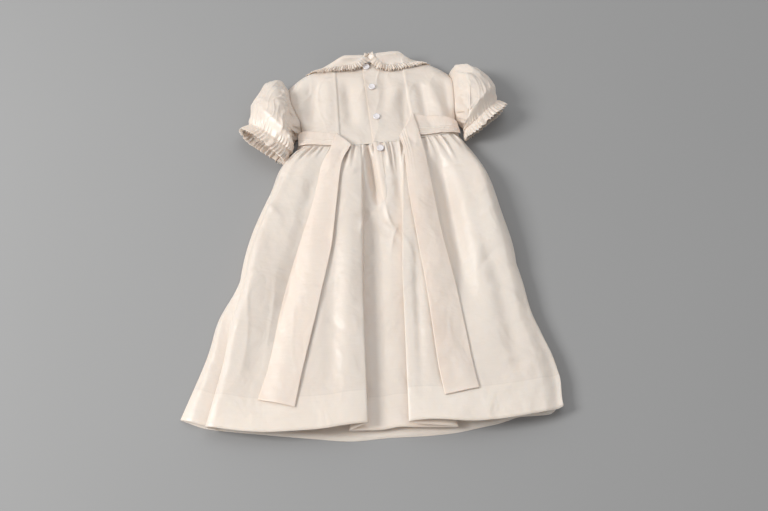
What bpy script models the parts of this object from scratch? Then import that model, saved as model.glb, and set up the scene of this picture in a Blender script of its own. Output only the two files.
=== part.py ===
"""Christening gown of ivory silk, lying flat on its front with the back up.

Every piece of cloth is a wall of even thickness on a surface that is worked out from the gown's
sizes. Lengths are in millimetres up to the point where a mesh is made, which is in metres.
Drafting frame: the waist seam's middle is near the origin, +Y runs to the neck, +Z up from the floor.
"""

import math

import bpy
import numpy as np

MM = 0.001

# Cloth and clearances
WALL = 1.0              # thickness of one layer of cloth
SEAM_GAP = 0.35         # space between two pieces at a seam
LAYER = WALL + SEAM_GAP  # from one layer's middle to the next one's, where they lie together
FLOOR_LAYER = WALL / 2  # middle of a layer that lies on the floor

# The drafting frame's origin, seen from the centre of the finished gown's bounding box
ORIGIN_X = 3.44
ORIGIN_Y = 156.46

# Waist
WAIST_MIDDLE = (5.5, -3.0)
WAIST_HALF = 131.5
WAIST_TILT = 0.115      # rise of the seam to the right
WAIST_SAG = 9.0
WAIST_GAP = 0.8

# Bodice, measured in its own frame: across and up from the waist's middle
BODICE_TURN = math.radians(7.0)
BODICE_HEIGHT = 23.0    # how far the back stands off the floor
SIDE_ROUND = 32.0       # width of the rounded side
SHOULDER_TIP = (134.0, 143.0)
SHOULDER_MIDDLE = (104.0, 163.0)
NECK_POINT = (74.0, 175.0)
BACK_NECK_DROP = 8.0
FRONT_NECK_DROP = 55.0
UNDERARM_UP = 40.0
OPEN_EDGE = 0.75        # height of the back's armhole edge, as a share of the back's height
SIDE_EDGES = {          # up, across: side seam and armhole
    "left": ((0, 132), (12, 131), (45, 120.5), (56, 120), (79, 126), (106, 132.5), (143, 133.5)),
    "right": ((0, 132.5), (12, 132.5), (26, 133.5), (53, 131.5), (84, 134.8), (118, 136.8), (143, 134.5)),
}
BUTTON_EDGE = -9.0      # edge of the buttoned panel, left of the centre
UNDER_EDGE = 12.0       # edge of the panel under it
TUCKS = {"left": (-62.0, -54.0), "right": (61.0, 59.0)}  # across, at the waist and at the neck
TUCK_HEIGHT = 3.0
TUCK_HALF = 6.0

# Skirt
KNEE = 0.52             # share of the length at which the fold table's knee columns hold
GATHERS = 26
GATHER_HEIGHT = 1.7
FRONT_HEM = (           # across, along
    (-268.0, -465.0), (-230.0, -478.0), (-145.0, -487.0), (-88.0, -492.0), (-31.0, -496.0),
    (22.0, -491.0), (68.0, -488.5), (110.0, -484.0), (149.0, -475.5), (173.0, -470.0),
    (189.0, -464.5), (202.0, -460.0), (222.0, -458.5), (245.0, -456.0), (261.0, -450.0),
)
# How fast the folds spring out below the waist, at the left seam and more at the right one
SPRING = 1.75
SPRING_RIGHT = 0.45
SIDE_BULGE = 8.0        # the right side swells out above the hem
# Back skirt: one row for each fold line from the waist to the hem, left to right
SKIRT_COLUMNS = ("line", "share", "knee_x", "knee_z", "hem_x", "hem_y", "hem_z")
SKIRT_FOLDS = (
    ("left_seam", 0.000, -199, 1.9, -268, -465, 1.9),
    ("left_flap", 0.035, -198, 9.0, -248, -472, 3.2),
    ("left_ridge_foot", 0.065, -194, 16.0, -230, -478, 8.0),
    ("left_ridge", 0.090, -185, 20.5, -219, -482, 19.0),
    ("left_middle", 0.200, -135, 25.0, -150, -491, 23.0),
    ("left_inner", 0.290, -70, 26.0, -80, -488, 25.0),
    ("panel_edge_inner", 0.350, -34, 30.0, -36, -482, 27.0),
    ("panel_edge", 0.385, -18, 26.5, -8, -478, 24.0),
    ("pleat_under_left", 0.415, -14, 13.0, -33, -484, 17.0),
    ("recess", 0.470, 4, 12.0, 8, -482, 12.0),
    ("recess_middle", 0.510, 22, 19.5, 40, -478, 9.5),
    ("pleat_under_right", 0.580, 36, 13.0, 116, -479, 9.5),
    ("pleat_turn_right", 0.600, 37, 13.5, 120, -479, 11.5),
    ("pleat_over_right", 0.620, 39, 18.0, 116, -479, 13.5),
    ("right_edge", 0.665, 43, 26.5, 55, -475, 22.5),
    ("right_edge_inner", 0.710, 58, 25.5, 85, -474, 28.0),
    ("right_inner", 0.790, 118, 23.0, 130, -476, 27.0),
    ("right_middle", 0.860, 162, 25.5, 175, -472, 24.0),
    ("right_roll", 0.935, 197, 20.0, 228, -461, 15.0),
    ("right_flap", 0.970, 209, 11.0, 250, -455, 5.0),
    ("right_seam", 1.000, 213, 1.9, 261, -450, 1.9),
)
# Soft folds on the back: a line from top to bottom, its half width, and its height
SOFT_COLUMNS = ("name", "top_x", "top_y", "foot_x", "foot_y", "half_width", "height")
SOFT_FOLDS = (
    ("valley_by_right_sash", 86, -30, 140, -290, 12, -9.0),
    ("ridge_right_of_it", 102, -20, 160, -270, 13, 3.0),
    ("ridge_by_left_sash", -100, -20, -122, -120, 9, 4.0),
    ("hollow_at_left_hip", -140, -70, -150, -170, 16, -4.0),
    ("valley_under_placket", -8, -20, -4, -120, 8, -6.0),
)

# Sleeves: rings below the armhole, each by its two ends in plan and its height
RING_COLUMNS = ("ring", "share", "head_x", "head_y", "under_x", "under_y", "top")
SLEEVES = {
    "left": (
        ("gathered_head", 0.00, -150, 124, -126, 24, 32),
        ("puff_head", 0.12, -157, 122, -130, 16, 42),
        ("puff", 0.36, -178, 108, -135, 6, 53),
        ("puff_low", 0.62, -199, 66, -137, -4, 55),
        ("elastic", 0.84, -205, 38, -144, -12, 40),
        ("rim", 1.00, -216, 22, -154, -30, 46),
    ),
    "right": (
        ("gathered_head", 0.00, 126, 160, 139, 44, 32),
        ("puff_head", 0.12, 134, 158, 144, 40, 42),
        ("puff", 0.36, 164, 145, 147, 36, 54),
        ("puff_low", 0.62, 193, 108, 144, 32, 54),
        ("elastic", 0.84, 199, 90, 143, 27, 39),
        ("rim", 1.00, 211, 78, 146, 14, 44),
    ),
}
ARMHOLE_UP = (42.0, 142.0)
SLEEVE_GATHERS = 12
SLEEVE_GATHER = 0.045   # share of a ring's size
FRILL_WAVES = 12
FRILL_WAVE = 0.05

# Collar: one half from its corner at the centre back, over the shoulder, to the centre front
COLLAR_START = {"left": -7.0, "right": 17.0}
COLLAR_BACK_DEPTH = {"left": 12.0, "right": 21.0}
COLLAR_SHOULDER_DEPTH = {"left": 22.0, "right": 27.0}
COLLAR_FRONT_DEPTH = 30.0
COLLAR_CORNER = 0.35    # share of its back that the rounded corner takes
COLLAR_ROLL = ((-0.9, 0.0), (-6.0, 2.6), (-9.8, 6.8), (-8.8, 10.8), (-3.0, 11.2))  # across, up
COLLAR_REST = 2.7       # height of the collar over the back, from wall middle to wall middle
COLLAR_WRAP = 1.6       # how far it stands out beyond the shoulder seam
FRILL_LIFT = 0.1        # the frill hangs just clear of the floor
CORNER_TURN = math.radians(60.0)
CORNER_LIFT = COLLAR_ROLL[-1][1]  # the corner at the centre back stands as high as the roll
COLLAR_FRILL = 10.0
COLLAR_WAVES = 13
COLLAR_STATIONS = 19
COLLAR_LYING_ROWS = 3
COLLAR_WAVE = 1.3

# Sash: its end in the side seam, its diagonal fold, then rows down the hanging part
SASH_SEAM = {"left": ((-124, 23), (-122, -7)), "right": ((131, 44), (137, 20))}
SASH_FOLD = {"left": ((-61, 12), (-38, -12)), "right": ((61, 54), (39, 6))}
SASH_COLUMNS = ("y", "outer_x", "inner_x")
SASHES = {
    "left": ((-18, -71, -41), (-50, -84, -53), (-113, -94, -58), (-186, -111, -63),
             (-280, -132, -78), (-400, -149, -100), (-450, -160, -108)),
    "right": ((-2, 74, 41), (-30, 80, 46), (-100, 91, 52), (-173, 102, 62),
              (-255, 118, 74), (-400, 140, 91), (-433, 146, 98)),
}
SASH_CUT = {"left": 13.0, "right": 11.0}  # how much lower the end's inner corner hangs
SASH_PLEATS = 3
SASH_PLEAT = 1.1
SASH_REST = 0.9         # clear space under the sash

# Placket: its line on the skirt, from the waist down
PLACKET_LINE = ((-4, -3), (0, -35), (7, -75), (17, -112))
PLACKET_WIDTH = 11.0

# Buttons: across and up from the waist's middle
BUTTONS = ((-2.3, 155.0), (2.4, 113.6), (2.7, 51.0), (1.1, -13.0))
BUTTON_PROFILE = (
    (0.0, -1.2), (4.6, -1.2), (5.75, -0.4), (5.75, 0.3), (5.1, 1.1), (4.2, 1.0), (3.2, 0.5), (0.0, 0.4),
)
BUTTON_SIDES = 20


def rows_to_columns(rows, names):
    """The table's rows as one array for each named column."""
    return {name: np.array([row[i] for row in rows]) for i, name in enumerate(names)}


def smooth(x, low, high):
    """0 below low and 1 above high, with a smooth step between."""
    share = np.clip((x - low) / (high - low), 0.0, 1.0)
    return share * share * (3.0 - 2.0 * share)


def round_rise(x):
    """A quarter circle: 0 at x = 0, 1 from x = 1 on."""
    return np.sqrt(1.0 - (1.0 - np.clip(x, 0.0, 1.0)) ** 2)


def through(at, values, x):
    """A smooth line through the table's values that never passes beyond them between two rows."""
    at = np.asarray(at, float)
    values = np.asarray(values, float)
    step = np.diff(at)
    slope = np.diff(values, axis=0) / step.reshape(-1, *([1] * (values.ndim - 1)))
    tangent = np.zeros_like(values)
    product = slope[:-1] * slope[1:]
    total = np.where(np.abs(slope[:-1] + slope[1:]) < 1e-12, 1.0, slope[:-1] + slope[1:])
    tangent[1:-1] = np.where(product > 0, 2.0 * product / total, 0.0)
    tangent[0], tangent[-1] = slope[0], slope[-1]
    x = np.asarray(x, float)
    i = np.clip(np.searchsorted(at, x, side="right") - 1, 0, len(step) - 1)
    width = step[i]
    u = (x - at[i]) / width
    if values.ndim > 1:
        width, u = width[..., None], u[..., None]
    return (
        values[i] * (2 * u**3 - 3 * u**2 + 1) + tangent[i] * width * (u**3 - 2 * u**2 + u)
        + values[i + 1] * (3 * u**2 - 2 * u**3) + tangent[i + 1] * width * (u**3 - u**2)
    )


def waist_y(x):
    """The waist seam: a tilted line that sags in its middle."""
    across = (x - WAIST_MIDDLE[0]) / WAIST_HALF
    return WAIST_MIDDLE[1] + WAIST_SAG + WAIST_TILT * x - WAIST_SAG * (1.0 - across**2)


def bodice_to_plan(across, up):
    """From the bodice's own frame to the drafting frame."""
    c, s = math.cos(BODICE_TURN), math.sin(BODICE_TURN)
    return WAIST_MIDDLE[0] + across * c - up * s, WAIST_MIDDLE[1] + across * s + up * c


def plan_to_bodice(x, y):
    """From the drafting frame to the bodice's own."""
    c, s = math.cos(BODICE_TURN), math.sin(BODICE_TURN)
    dx, dy = x - WAIST_MIDDLE[0], y - WAIST_MIDDLE[1]
    return dx * c + dy * s, dy * c - dx * s


def shoulder_up(across):
    """Height of the shoulder line: a smooth line from the neck point to the shoulder's tip."""
    at = (NECK_POINT[0], SHOULDER_MIDDLE[0], SHOULDER_TIP[0])
    up = (NECK_POINT[1], SHOULDER_MIDDLE[1], SHOULDER_TIP[1])
    return through(at, up, np.clip(np.abs(across), at[0], at[-1]))


def back_top(across):
    """The back's upper edge: the neckline, then the shoulder."""
    neck = NECK_POINT[1] - BACK_NECK_DROP * (1.0 - (across / NECK_POINT[0]) ** 2)
    return np.where(np.abs(across) < NECK_POINT[0], neck, shoulder_up(across))


def front_top(across):
    """The front's upper edge: a deep round neckline, then the shoulder."""
    inside = np.clip(1.0 - (across / NECK_POINT[0]) ** 2, 0.0, 1.0)
    neck = NECK_POINT[1] - FRONT_NECK_DROP * np.sqrt(inside)
    return np.where(np.abs(across) < NECK_POINT[0], neck, shoulder_up(across))


def side_across(up, side):
    """Distance of the side seam and the armhole from the centre line, always positive."""
    edge = np.array(SIDE_EDGES[side], float)
    return through(edge[:, 0], edge[:, 1], np.clip(up, 0.0, edge[-1, 0]))


def back_height(across, up):
    """Height of the bodice's back: a low cushion, rounded to its seams and open at the armholes."""
    edge = np.where(across < 0, side_across(up, "left"), side_across(up, "right"))
    inward = np.maximum(edge - np.abs(across), 0.0)
    open_edge = OPEN_EDGE * smooth(up, UNDERARM_UP, UNDERARM_UP + 25.0) * (1.0 - smooth(up, 118.0, 143.0))
    side = open_edge + (1.0 - open_edge) * round_rise(inward / SIDE_ROUND)
    over_neck = 1.0 - np.clip(np.abs(across) / NECK_POINT[0], 0.0, 1.0) ** 2.5
    below = np.maximum(back_top(across) - up, 0.0) + SIDE_ROUND * over_neck
    top = round_rise(below / SIDE_ROUND)
    seam = FLOOR_LAYER + LAYER * (1.0 + smooth(up, 70.0, 110.0))
    return seam + (BODICE_HEIGHT - seam) * side * top


def tuck_height(across, up, side):
    """A pressed tuck that runs from the waist to the neck, as a narrow ridge."""
    at_waist, at_neck = TUCKS[side]
    line = at_waist + (at_neck - at_waist) * up / NECK_POINT[1]
    fade = 1.0 - smooth(up, 150.0, 172.0)
    return TUCK_HEIGHT * fade * np.exp(-((across - line) / TUCK_HALF) ** 2 * 3.0)


def front_height(across, up):
    """The front lies on the floor, and on the front half of the collar near the neck."""
    down = front_top(across) - up
    near = np.clip(1.0 - (np.abs(across) / 124.0) ** 6, 0.0, 1.0)
    return FLOOR_LAYER + LAYER * (1.0 - smooth(down, 84.0, 104.0)) * smooth(near, 0.0, 0.5)


def soft_folds(x, y):
    """Sum of the soft folds: each a bell across its line, fading in and out along it."""
    table = rows_to_columns(SOFT_FOLDS, SOFT_COLUMNS)
    height = np.zeros(np.broadcast(x, y).shape)
    for i in range(len(SOFT_FOLDS)):
        top = np.array([table["top_x"][i], table["top_y"][i]], float)
        line = np.array([table["foot_x"][i], table["foot_y"][i]], float) - top
        along = ((x - top[0]) * line[0] + (y - top[1]) * line[1]) / (line @ line)
        off = (x - top[0] - along * line[0]) ** 2 + (y - top[1] - along * line[1]) ** 2
        fade = smooth(along, -0.05, 0.3) * (1.0 - smooth(along, 0.55, 1.05))
        height += table["height"][i] * fade * np.exp(-off / table["half_width"][i] ** 2)
    return height


def gather_wave(s):
    """Uneven gathers across the waist, between -1 and 1."""
    phase = s + 0.006 * np.sin(2 * np.pi * 5 * s) + 0.004 * np.sin(2 * np.pi * 11 * s + 1.0)
    return np.cos(2 * np.pi * GATHERS * phase)


def skirt_back(s, t):
    """Point of the back skirt: s across the cloth from seam to seam, t down from waist to hem.
    Waist, knee and hem are three sections, and a fold line runs straight or springs out between them."""
    table = rows_to_columns(SKIRT_FOLDS, SKIRT_COLUMNS)
    section = {name: through(table["share"], table[name], s) for name in SKIRT_COLUMNS[2:]}
    waist_x = WAIST_MIDDLE[0] + WAIST_HALF * (2.0 * s - 1.0)
    across, up = plan_to_bodice(waist_x, waist_y(waist_x))
    waist_z = back_height(across, up)
    spring = 1.0 - (1.0 - np.clip(t / KNEE, 0.0, 1.0)) ** (SPRING + SPRING_RIGHT * s)
    fall = np.clip((t - KNEE) / (1.0 - KNEE), 0.0, 1.0)
    x = waist_x + (section["knee_x"] - waist_x) * spring + (section["hem_x"] - section["knee_x"]) * fall
    z = waist_z + (section["knee_z"] - waist_z) * spring + (section["hem_z"] - section["knee_z"]) * fall
    x = x + SIDE_BULGE * smooth(s, 0.86, 0.98) * smooth(t, 0.62, 0.86) * (1.0 - smooth(t, 0.9, 1.0))
    start = waist_y(waist_x) - WAIST_GAP / 2
    y = start + (section["hem_y"] - start) * t
    off_seams = smooth(s, 0.0, 0.05) * (1.0 - smooth(s, 0.95, 1.0))
    gather = GATHER_HEIGHT * smooth(t, -0.02, 0.03) * (1.0 - smooth(t, 0.03, 0.3))
    z = z + off_seams * (gather * gather_wave(s) + soft_folds(x, y))
    return np.stack([x, y, np.maximum(z, FLOOR_LAYER + LAYER)], axis=-1)


def skirt_front(s, t):
    """Point of the front skirt: flat on the floor, between the same two side lines as the back."""
    left, right = skirt_back(np.zeros_like(t), t), skirt_back(np.ones_like(t), t)
    x = left[..., 0] + (right[..., 0] - left[..., 0]) * s
    hem = np.array(FRONT_HEM)
    hem_x = hem[0, 0] + (hem[-1, 0] - hem[0, 0]) * s
    hem_y = through(hem[:, 0], hem[:, 1], hem_x)
    waist_x = WAIST_MIDDLE[0] + WAIST_HALF * (2.0 * s - 1.0)
    start = waist_y(waist_x) - WAIST_GAP / 2
    return np.stack([x, start + (hem_y - start) * t, np.full_like(x, FLOOR_LAYER)], axis=-1)


def bodice_panel(across_of, top_line, height, u, v):
    """Point of a bodice panel: across_of gives its width at a height, top_line its upper edge."""
    low, high = across_of(np.full_like(u, 6.0), u), across_of(np.full_like(u, SHOULDER_TIP[1]), u)
    waist_x = bodice_to_plan(low, 5.0)[0]
    waist_up = plan_to_bodice(waist_x, waist_y(waist_x) + WAIST_GAP / 2)[1]
    up = waist_up + (top_line(high) - waist_up) * v
    side_up = waist_up + (SHOULDER_TIP[1] - waist_up) * v
    across = across_of(side_up, u)
    x, y = bodice_to_plan(across, up)
    return np.stack([x, y, height(across, up)], axis=-1)


def bodice_back(side, u, v):
    """The back's left or right half. The right half lies over the left one at the centre."""
    sign = -1.0 if side == "left" else 1.0
    inner = UNDER_EDGE if side == "left" else BUTTON_EDGE

    def across_of(up, u):
        return inner + (side_across(up, side) * sign - inner) * u

    def height(across, up):
        lapped = 1.0 - smooth(sign * across, 14.0, 34.0)
        step = sign * 0.6 * LAYER * lapped
        return back_height(across, up) + tuck_height(across, up, side) + step

    return bodice_panel(across_of, back_top, height, u, v)


def bodice_front(u, v):
    """The whole front, from side to side."""

    def across_of(up, u):
        return side_across(up, "right") * u - side_across(up, "left") * (1.0 - u)

    return bodice_panel(across_of, front_top, front_height, u, v)


def armhole_ring(side, angle):
    """The sleeve's first ring, which follows the armhole's edges on the back and the front."""
    sign = -1.0 if side == "left" else 1.0
    low, high = ARMHOLE_UP
    up = (low + high) / 2 + (high - low) / 2 * np.cos(angle)
    edge = side_across(up, side)
    over = back_height(sign * edge, up)
    share = smooth(np.sin(angle), -0.25, 0.25)
    x, y = bodice_to_plan(sign * (edge + WALL + SEAM_GAP), up)
    return np.stack([x, y, FLOOR_LAYER + (over - FLOOR_LAYER) * share], axis=-1)


def sleeve(side, p, angle):
    """Point of a sleeve: p from the armhole to the rim, and an angle round the ring,
    0 at the shoulder end and a quarter turn on at the top. A ring is an ellipse on end,
    swollen by its gathers and cut off by the floor."""
    table = rows_to_columns(SLEEVES[side], RING_COLUMNS)
    ring = {name: through(table["share"], table[name], p) for name in RING_COLUMNS[2:]}
    head = smooth(p, -0.02, 0.04) * (1.0 - smooth(p, 0.08, 0.45))
    casing = smooth(p, 0.66, 0.8) * (1.0 - smooth(p, 0.84, 0.9))
    rim = smooth(p, 0.84, 1.0)
    swell = 1.0 - SLEEVE_GATHER * (head + 0.7 * casing) * np.cos(SLEEVE_GATHERS * angle)
    swell = swell + FRILL_WAVE * rim * np.sin(FRILL_WAVES * angle)
    along, rise = np.cos(angle) * swell, np.sin(angle) * swell
    mid_x, mid_y = (ring["head_x"] + ring["under_x"]) / 2, (ring["head_y"] + ring["under_y"]) / 2
    x = mid_x + (ring["head_x"] - ring["under_x"]) / 2 * along
    y = mid_y + (ring["head_y"] - ring["under_y"]) / 2 * along
    middle = 0.12 + 0.32 * smooth(p, 0.0, 0.35)
    z = np.maximum(ring["top"] * (middle + (1.0 - middle) * rise), FLOOR_LAYER)
    free = np.clip(p / 0.06, 0.0, 1.0)[..., None]
    return armhole_ring(side, angle) * (1.0 - free) + np.stack([x, y, z], axis=-1) * free


def collar_line(side, a):
    """The collar's neck seam in the bodice's frame, and the way its cloth runs from there, in degrees below
    the line across. a runs from 0 at the centre back to 1 at the shoulder and 2 at the centre front."""
    start = abs(COLLAR_START[side])
    back = np.clip(a, 0.0, 1.0)
    front = np.radians(np.clip(a - 1.0, 0.0, 1.0) * 84.0)
    across = np.where(a <= 1.0, start + (NECK_POINT[0] - start) * back, NECK_POINT[0] * np.cos(front))
    up = np.where(a <= 1.0, back_top(across), NECK_POINT[1] - FRONT_NECK_DROP * np.sin(front))
    turn = np.where(a <= 1.0, 90.0 - 73.0 * back**1.7, 17.0 + 73.0 * np.clip(a - 1.0, 0.0, 1.0))
    return across, up, np.radians(turn)


def collar_depth(side, a):
    """Depth from the neck seam, with rounded corners at both ends."""
    depths = (COLLAR_BACK_DEPTH[side], COLLAR_SHOULDER_DEPTH[side], COLLAR_FRONT_DEPTH)
    depth = through((0.35, 1.0, 1.5), depths, np.clip(a, 0.35, 1.5))
    start = 1.0 + (depth - 1.0) * round_rise(a / COLLAR_CORNER)
    return np.where(a < 1.0, start, depth * (0.25 + 0.75 * round_rise((2.0 - a) / 0.3)))


def collar_point(side, a, w, lift):
    """Point of a collar half at w from the neck seam, lift above where it would lie."""
    sign = -1.0 if side == "left" else 1.0
    across, up, turn = collar_line(side, a)
    depth = collar_depth(side, a)
    inside, past = np.minimum(w, depth), np.maximum(w - depth, 0.0)
    corner = turn + CORNER_TURN * (1.0 - np.clip(a / COLLAR_CORNER, 0.0, 1.0)) ** 2
    across = across + inside * np.cos(turn) + past * np.cos(corner)
    up = up - inside * np.sin(turn) - past * np.sin(corner)
    beyond = shoulder_up(across) + COLLAR_WRAP
    near_shoulder = smooth(a, 0.86, 1.0)
    up = np.where(a <= 1.0, up + (beyond - up) * near_shoulder, up)
    x, y = bodice_to_plan(sign * across, up)
    over = back_height(sign * across, up) + tuck_height(sign * across, up, side)
    over = np.maximum(over, over + 0.6 * sign * LAYER) + COLLAR_REST
    return np.stack([x, y, np.where(a <= 1.0, over + lift, FLOOR_LAYER)], axis=-1)


def collar_rows(side, across_rows, stations):
    """The collar's sections: the back half, a turn round the shoulder, and the front half on the floor.
    across_rows(a) gives w and lift for each row of cloth."""
    back = [collar_point(side, np.full_like(w, a), w, lift) for a in stations[stations <= 1.0]
            for w, lift in [across_rows(a)]]
    front = [collar_point(side, np.full_like(w, a), w, lift) for a in stations[stations > 1.0]
             for w, lift in [across_rows(a)]]
    last, first = back[-1], front[0].copy()
    first[:, :2] = last[:, :2]
    turn = []
    for share in (0.3, 0.7):
        row = last + (first - last) * share
        out = math.sin(math.pi * share) * LAYER
        row[:, 0] += out * -math.sin(BODICE_TURN)
        row[:, 1] += out * math.cos(BODICE_TURN)
        turn.append(row)
    return np.array(back + turn + [first] + front)


def collar(side, stations):
    """Rolls up from the neck seam and falls back over it, then lies on the bodice."""
    roll = np.array(COLLAR_ROLL)
    share = np.linspace(0.0, 1.0, COLLAR_LYING_ROWS + 1)[1:]

    def across_rows(a):
        depth = float(collar_depth(side, np.array(a)))
        flat = float(smooth(a, 0.72, 1.0))
        rolled_w = roll[:, 0] * (1.0 - flat) + np.linspace(0.0, 5.0, len(roll)) * flat
        rolled_lift = roll[:, 1] * (1.0 - flat)
        lying = rolled_w[-1] + (max(depth, rolled_w[-1] + 1.0) - rolled_w[-1]) * share
        corner = CORNER_LIFT * max(0.0, 1.0 - a / COLLAR_CORNER) ** 2
        fall = corner + (rolled_lift[-1] - corner) * (1.0 - share) ** 1.5
        return np.concatenate([rolled_w, lying]), np.concatenate([rolled_lift, fall])

    return collar_rows(side, across_rows, stations)


def collar_frill(side, stations):
    """A narrow gathered strip beyond the collar's edge. Between the collar's own stations, its seam
    follows the collar's straight edge."""

    def across_rows(a):
        depth = float(collar_depth(side, np.array(a)))
        share = np.linspace(0.0, 1.0, 3)
        w = depth + SEAM_GAP + 0.1 + COLLAR_FRILL * share
        wave = COLLAR_WAVE * share * (1.0 + math.sin(math.pi * 2.0 * COLLAR_WAVES * a))
        corner = max(0.0, 1.0 - a / COLLAR_CORNER) ** 2
        return w, wave + CORNER_LIFT * corner

    rows = collar_rows(side, across_rows, stations)
    last = np.count_nonzero(stations <= 1.0) - 1
    rows[1:last:2, 0] = (rows[0:last - 1:2, 0] + rows[2:last + 1:2, 0]) / 2
    rows[..., 2] = np.maximum(rows[..., 2], FLOOR_LAYER + FRILL_LIFT)
    return rows


def along_line(line, share):
    """Point of a line through the given places, and its direction, at a share of its rows."""
    place = np.array(line, float)
    at = np.linspace(0.0, 1.0, len(place))
    here = through(at, place, share)
    step = through(at, place, np.clip(share + 0.01, 0, 1)) - through(at, place, np.clip(share - 0.01, 0, 1))
    return here, step / np.linalg.norm(step, axis=-1, keepdims=True)


def sash(side, under):
    """A ribbon from the side seam to its diagonal fold, then down over the skirt: rows along the
    ribbon, columns across it from its upper edge. It lies on the highest points under it."""
    w = np.linspace(0.0, 1.0, 2 * SASH_PLEATS + 1)[:, None]
    seam, fold = np.array(SASH_SEAM[side], float), np.array(SASH_FOLD[side], float)
    start, turn = seam[0] + (seam[1] - seam[0]) * w, fold[0] + (fold[1] - fold[0]) * w
    hang = rows_to_columns(SASHES[side], SASH_COLUMNS)
    band = [start + (turn - start) * share for share in np.linspace(0.0, 1.0, 7)]
    down = []
    for share in np.linspace(0.0, 1.0, 13):
        place = share * (len(hang["y"]) - 1)
        y = through(np.arange(len(hang["y"])), hang["y"], place)
        edge = [through(np.arange(len(hang["y"])), hang[name], place) for name in ("outer_x", "inner_x")]
        level = y - SASH_CUT[side] * (w - 0.5) * share**2
        down.append(np.concatenate([edge[0] + (edge[1] - edge[0]) * w, level], axis=1))
    bend_down = [turn + (down[0] - turn) * share for share in np.linspace(0.0, 0.75, 4)]
    band, down = np.array(band), np.array(bend_down + down)
    pleat = 1.0 - np.cos(2.0 * np.pi * SASH_PLEATS * w[:, 0])
    crease = np.linspace(1.0, 0.2, len(band))[:, None] * pleat * SASH_PLEAT / 2
    low = highest_near(under, band[..., 0], band[..., 1], 9.0) + SASH_REST + WALL + crease
    low = np.maximum(low, low.max(axis=1, keepdims=True) - 1.5)
    band = np.concatenate([band, low[..., None]], axis=-1)
    lying = np.concatenate([under.reshape(-1, 3), fine(band).reshape(-1, 3)])
    soft = np.linspace(1.0, 0.0, len(down))[:, None] ** 2 * pleat * SASH_PLEAT / 2
    high = highest_near(lying, down[..., 0], down[..., 1], 9.0) + SASH_REST + WALL + soft
    high[0] = low[-1] + 2.0 * WALL + 2.0 * SEAM_GAP
    down = np.concatenate([down, high[..., None]], axis=-1)
    bend = (band[-1] + down[0]) / 2
    bend[:, 0] += 1.4 * (1.0 if side == "left" else -1.0)
    return np.concatenate([band, bend[None], down])


def placket(under):
    """The overlapping edge of the skirt's opening, a narrow strip down from the waist."""
    share = np.linspace(0.0, 1.0, 12)
    here, way = along_line(PLACKET_LINE, share)
    across = np.linspace(0.0, PLACKET_WIDTH, 4)
    side = np.stack([-way[:, 1], way[:, 0]], axis=-1)
    plan = here[:, None, :] + side[:, None, :] * across[None, :, None]
    z = highest_near(under, plan[..., 0], plan[..., 1], 5.0).max(axis=1, keepdims=True)
    z = np.repeat(z, len(across), axis=1) + WALL + SEAM_GAP
    return np.concatenate([plan, z[..., None]], axis=-1)


def button(name, place, under, material):
    """A turned button that rests on the cloth under it."""
    x, y = bodice_to_plan(*place)
    z = highest_near(under, np.array([x]), np.array([y]), 6.5)[0]
    mesh = bpy.data.meshes.new(name)
    points = [(radius * MM, 0.0, height * MM) for radius, height in BUTTON_PROFILE]
    mesh.from_pydata(points, [(i, i + 1) for i in range(len(points) - 1)], [])
    mesh.materials.append(material)
    piece = bpy.data.objects.new(name, mesh)
    gown.objects.link(piece)
    top = z + WALL / 2 + SEAM_GAP - BUTTON_PROFILE[0][1]
    piece.location = ((x + ORIGIN_X) * MM, (y + ORIGIN_Y) * MM, top * MM)
    turned = piece.modifiers.new("turned", "SCREW")
    turned.steps = turned.render_steps = BUTTON_SIDES
    turned.use_merge_vertices = True
    turned.merge_threshold = 0.00001
    turned.use_normal_calculate = True
    turned.use_smooth_shade = True
    return piece


def fine(points):
    """The same sheet with three more rows and columns between each two."""
    rows = np.linspace(0, len(points) - 1, 4 * len(points) - 3)
    low = np.minimum(rows.astype(int), len(points) - 2)
    part = (rows - low)[:, None, None]
    points = points[low] * (1 - part) + points[low + 1] * part
    columns = np.linspace(0, points.shape[1] - 1, 4 * points.shape[1] - 3)
    low = np.minimum(columns.astype(int), points.shape[1] - 2)
    part = (columns - low)[None, :, None]
    return points[:, low] * (1 - part) + points[:, low + 1] * part


def cloth(name, points, material, closed=False, wall=WALL):
    """A sheet of quads through a grid of points, given its thickness by Solidify."""
    rows, columns = points.shape[:2]
    mesh = bpy.data.meshes.new(name)
    index = np.arange(rows * columns).reshape(rows, columns)
    if closed:
        index = np.concatenate([index, index[:, :1]], axis=1)
    quads = np.stack([index[:-1, :-1], index[:-1, 1:], index[1:, 1:], index[1:, :-1]], axis=-1)
    place = (points + np.array([ORIGIN_X, ORIGIN_Y, 0.0])) * MM
    mesh.from_pydata(place.reshape(-1, 3).tolist(), [], quads.reshape(-1, 4).tolist())
    mesh.shade_smooth()
    piece = bpy.data.objects.new(name, mesh)
    mesh.materials.append(material)
    gown.objects.link(piece)
    thick = piece.modifiers.new("wall", "SOLIDIFY")
    thick.thickness = wall * MM
    thick.offset = 0.0
    return piece


def grid(rows, columns):
    """Two parameters from 0 to 1: the first along the columns, the second down the rows."""
    return np.meshgrid(np.linspace(0.0, 1.0, columns), np.linspace(0.0, 1.0, rows))


def silk(name, colour, roughness):
    """Ivory silk with its colour and roughness."""
    material = bpy.data.materials.new(name)
    material.use_nodes = True
    shader = material.node_tree.nodes["Principled BSDF"]
    shader.inputs["Base Color"].default_value = (*colour, 1.0)
    shader.inputs["Roughness"].default_value = roughness
    shader.inputs["Metallic"].default_value = 0.0
    return material


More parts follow.
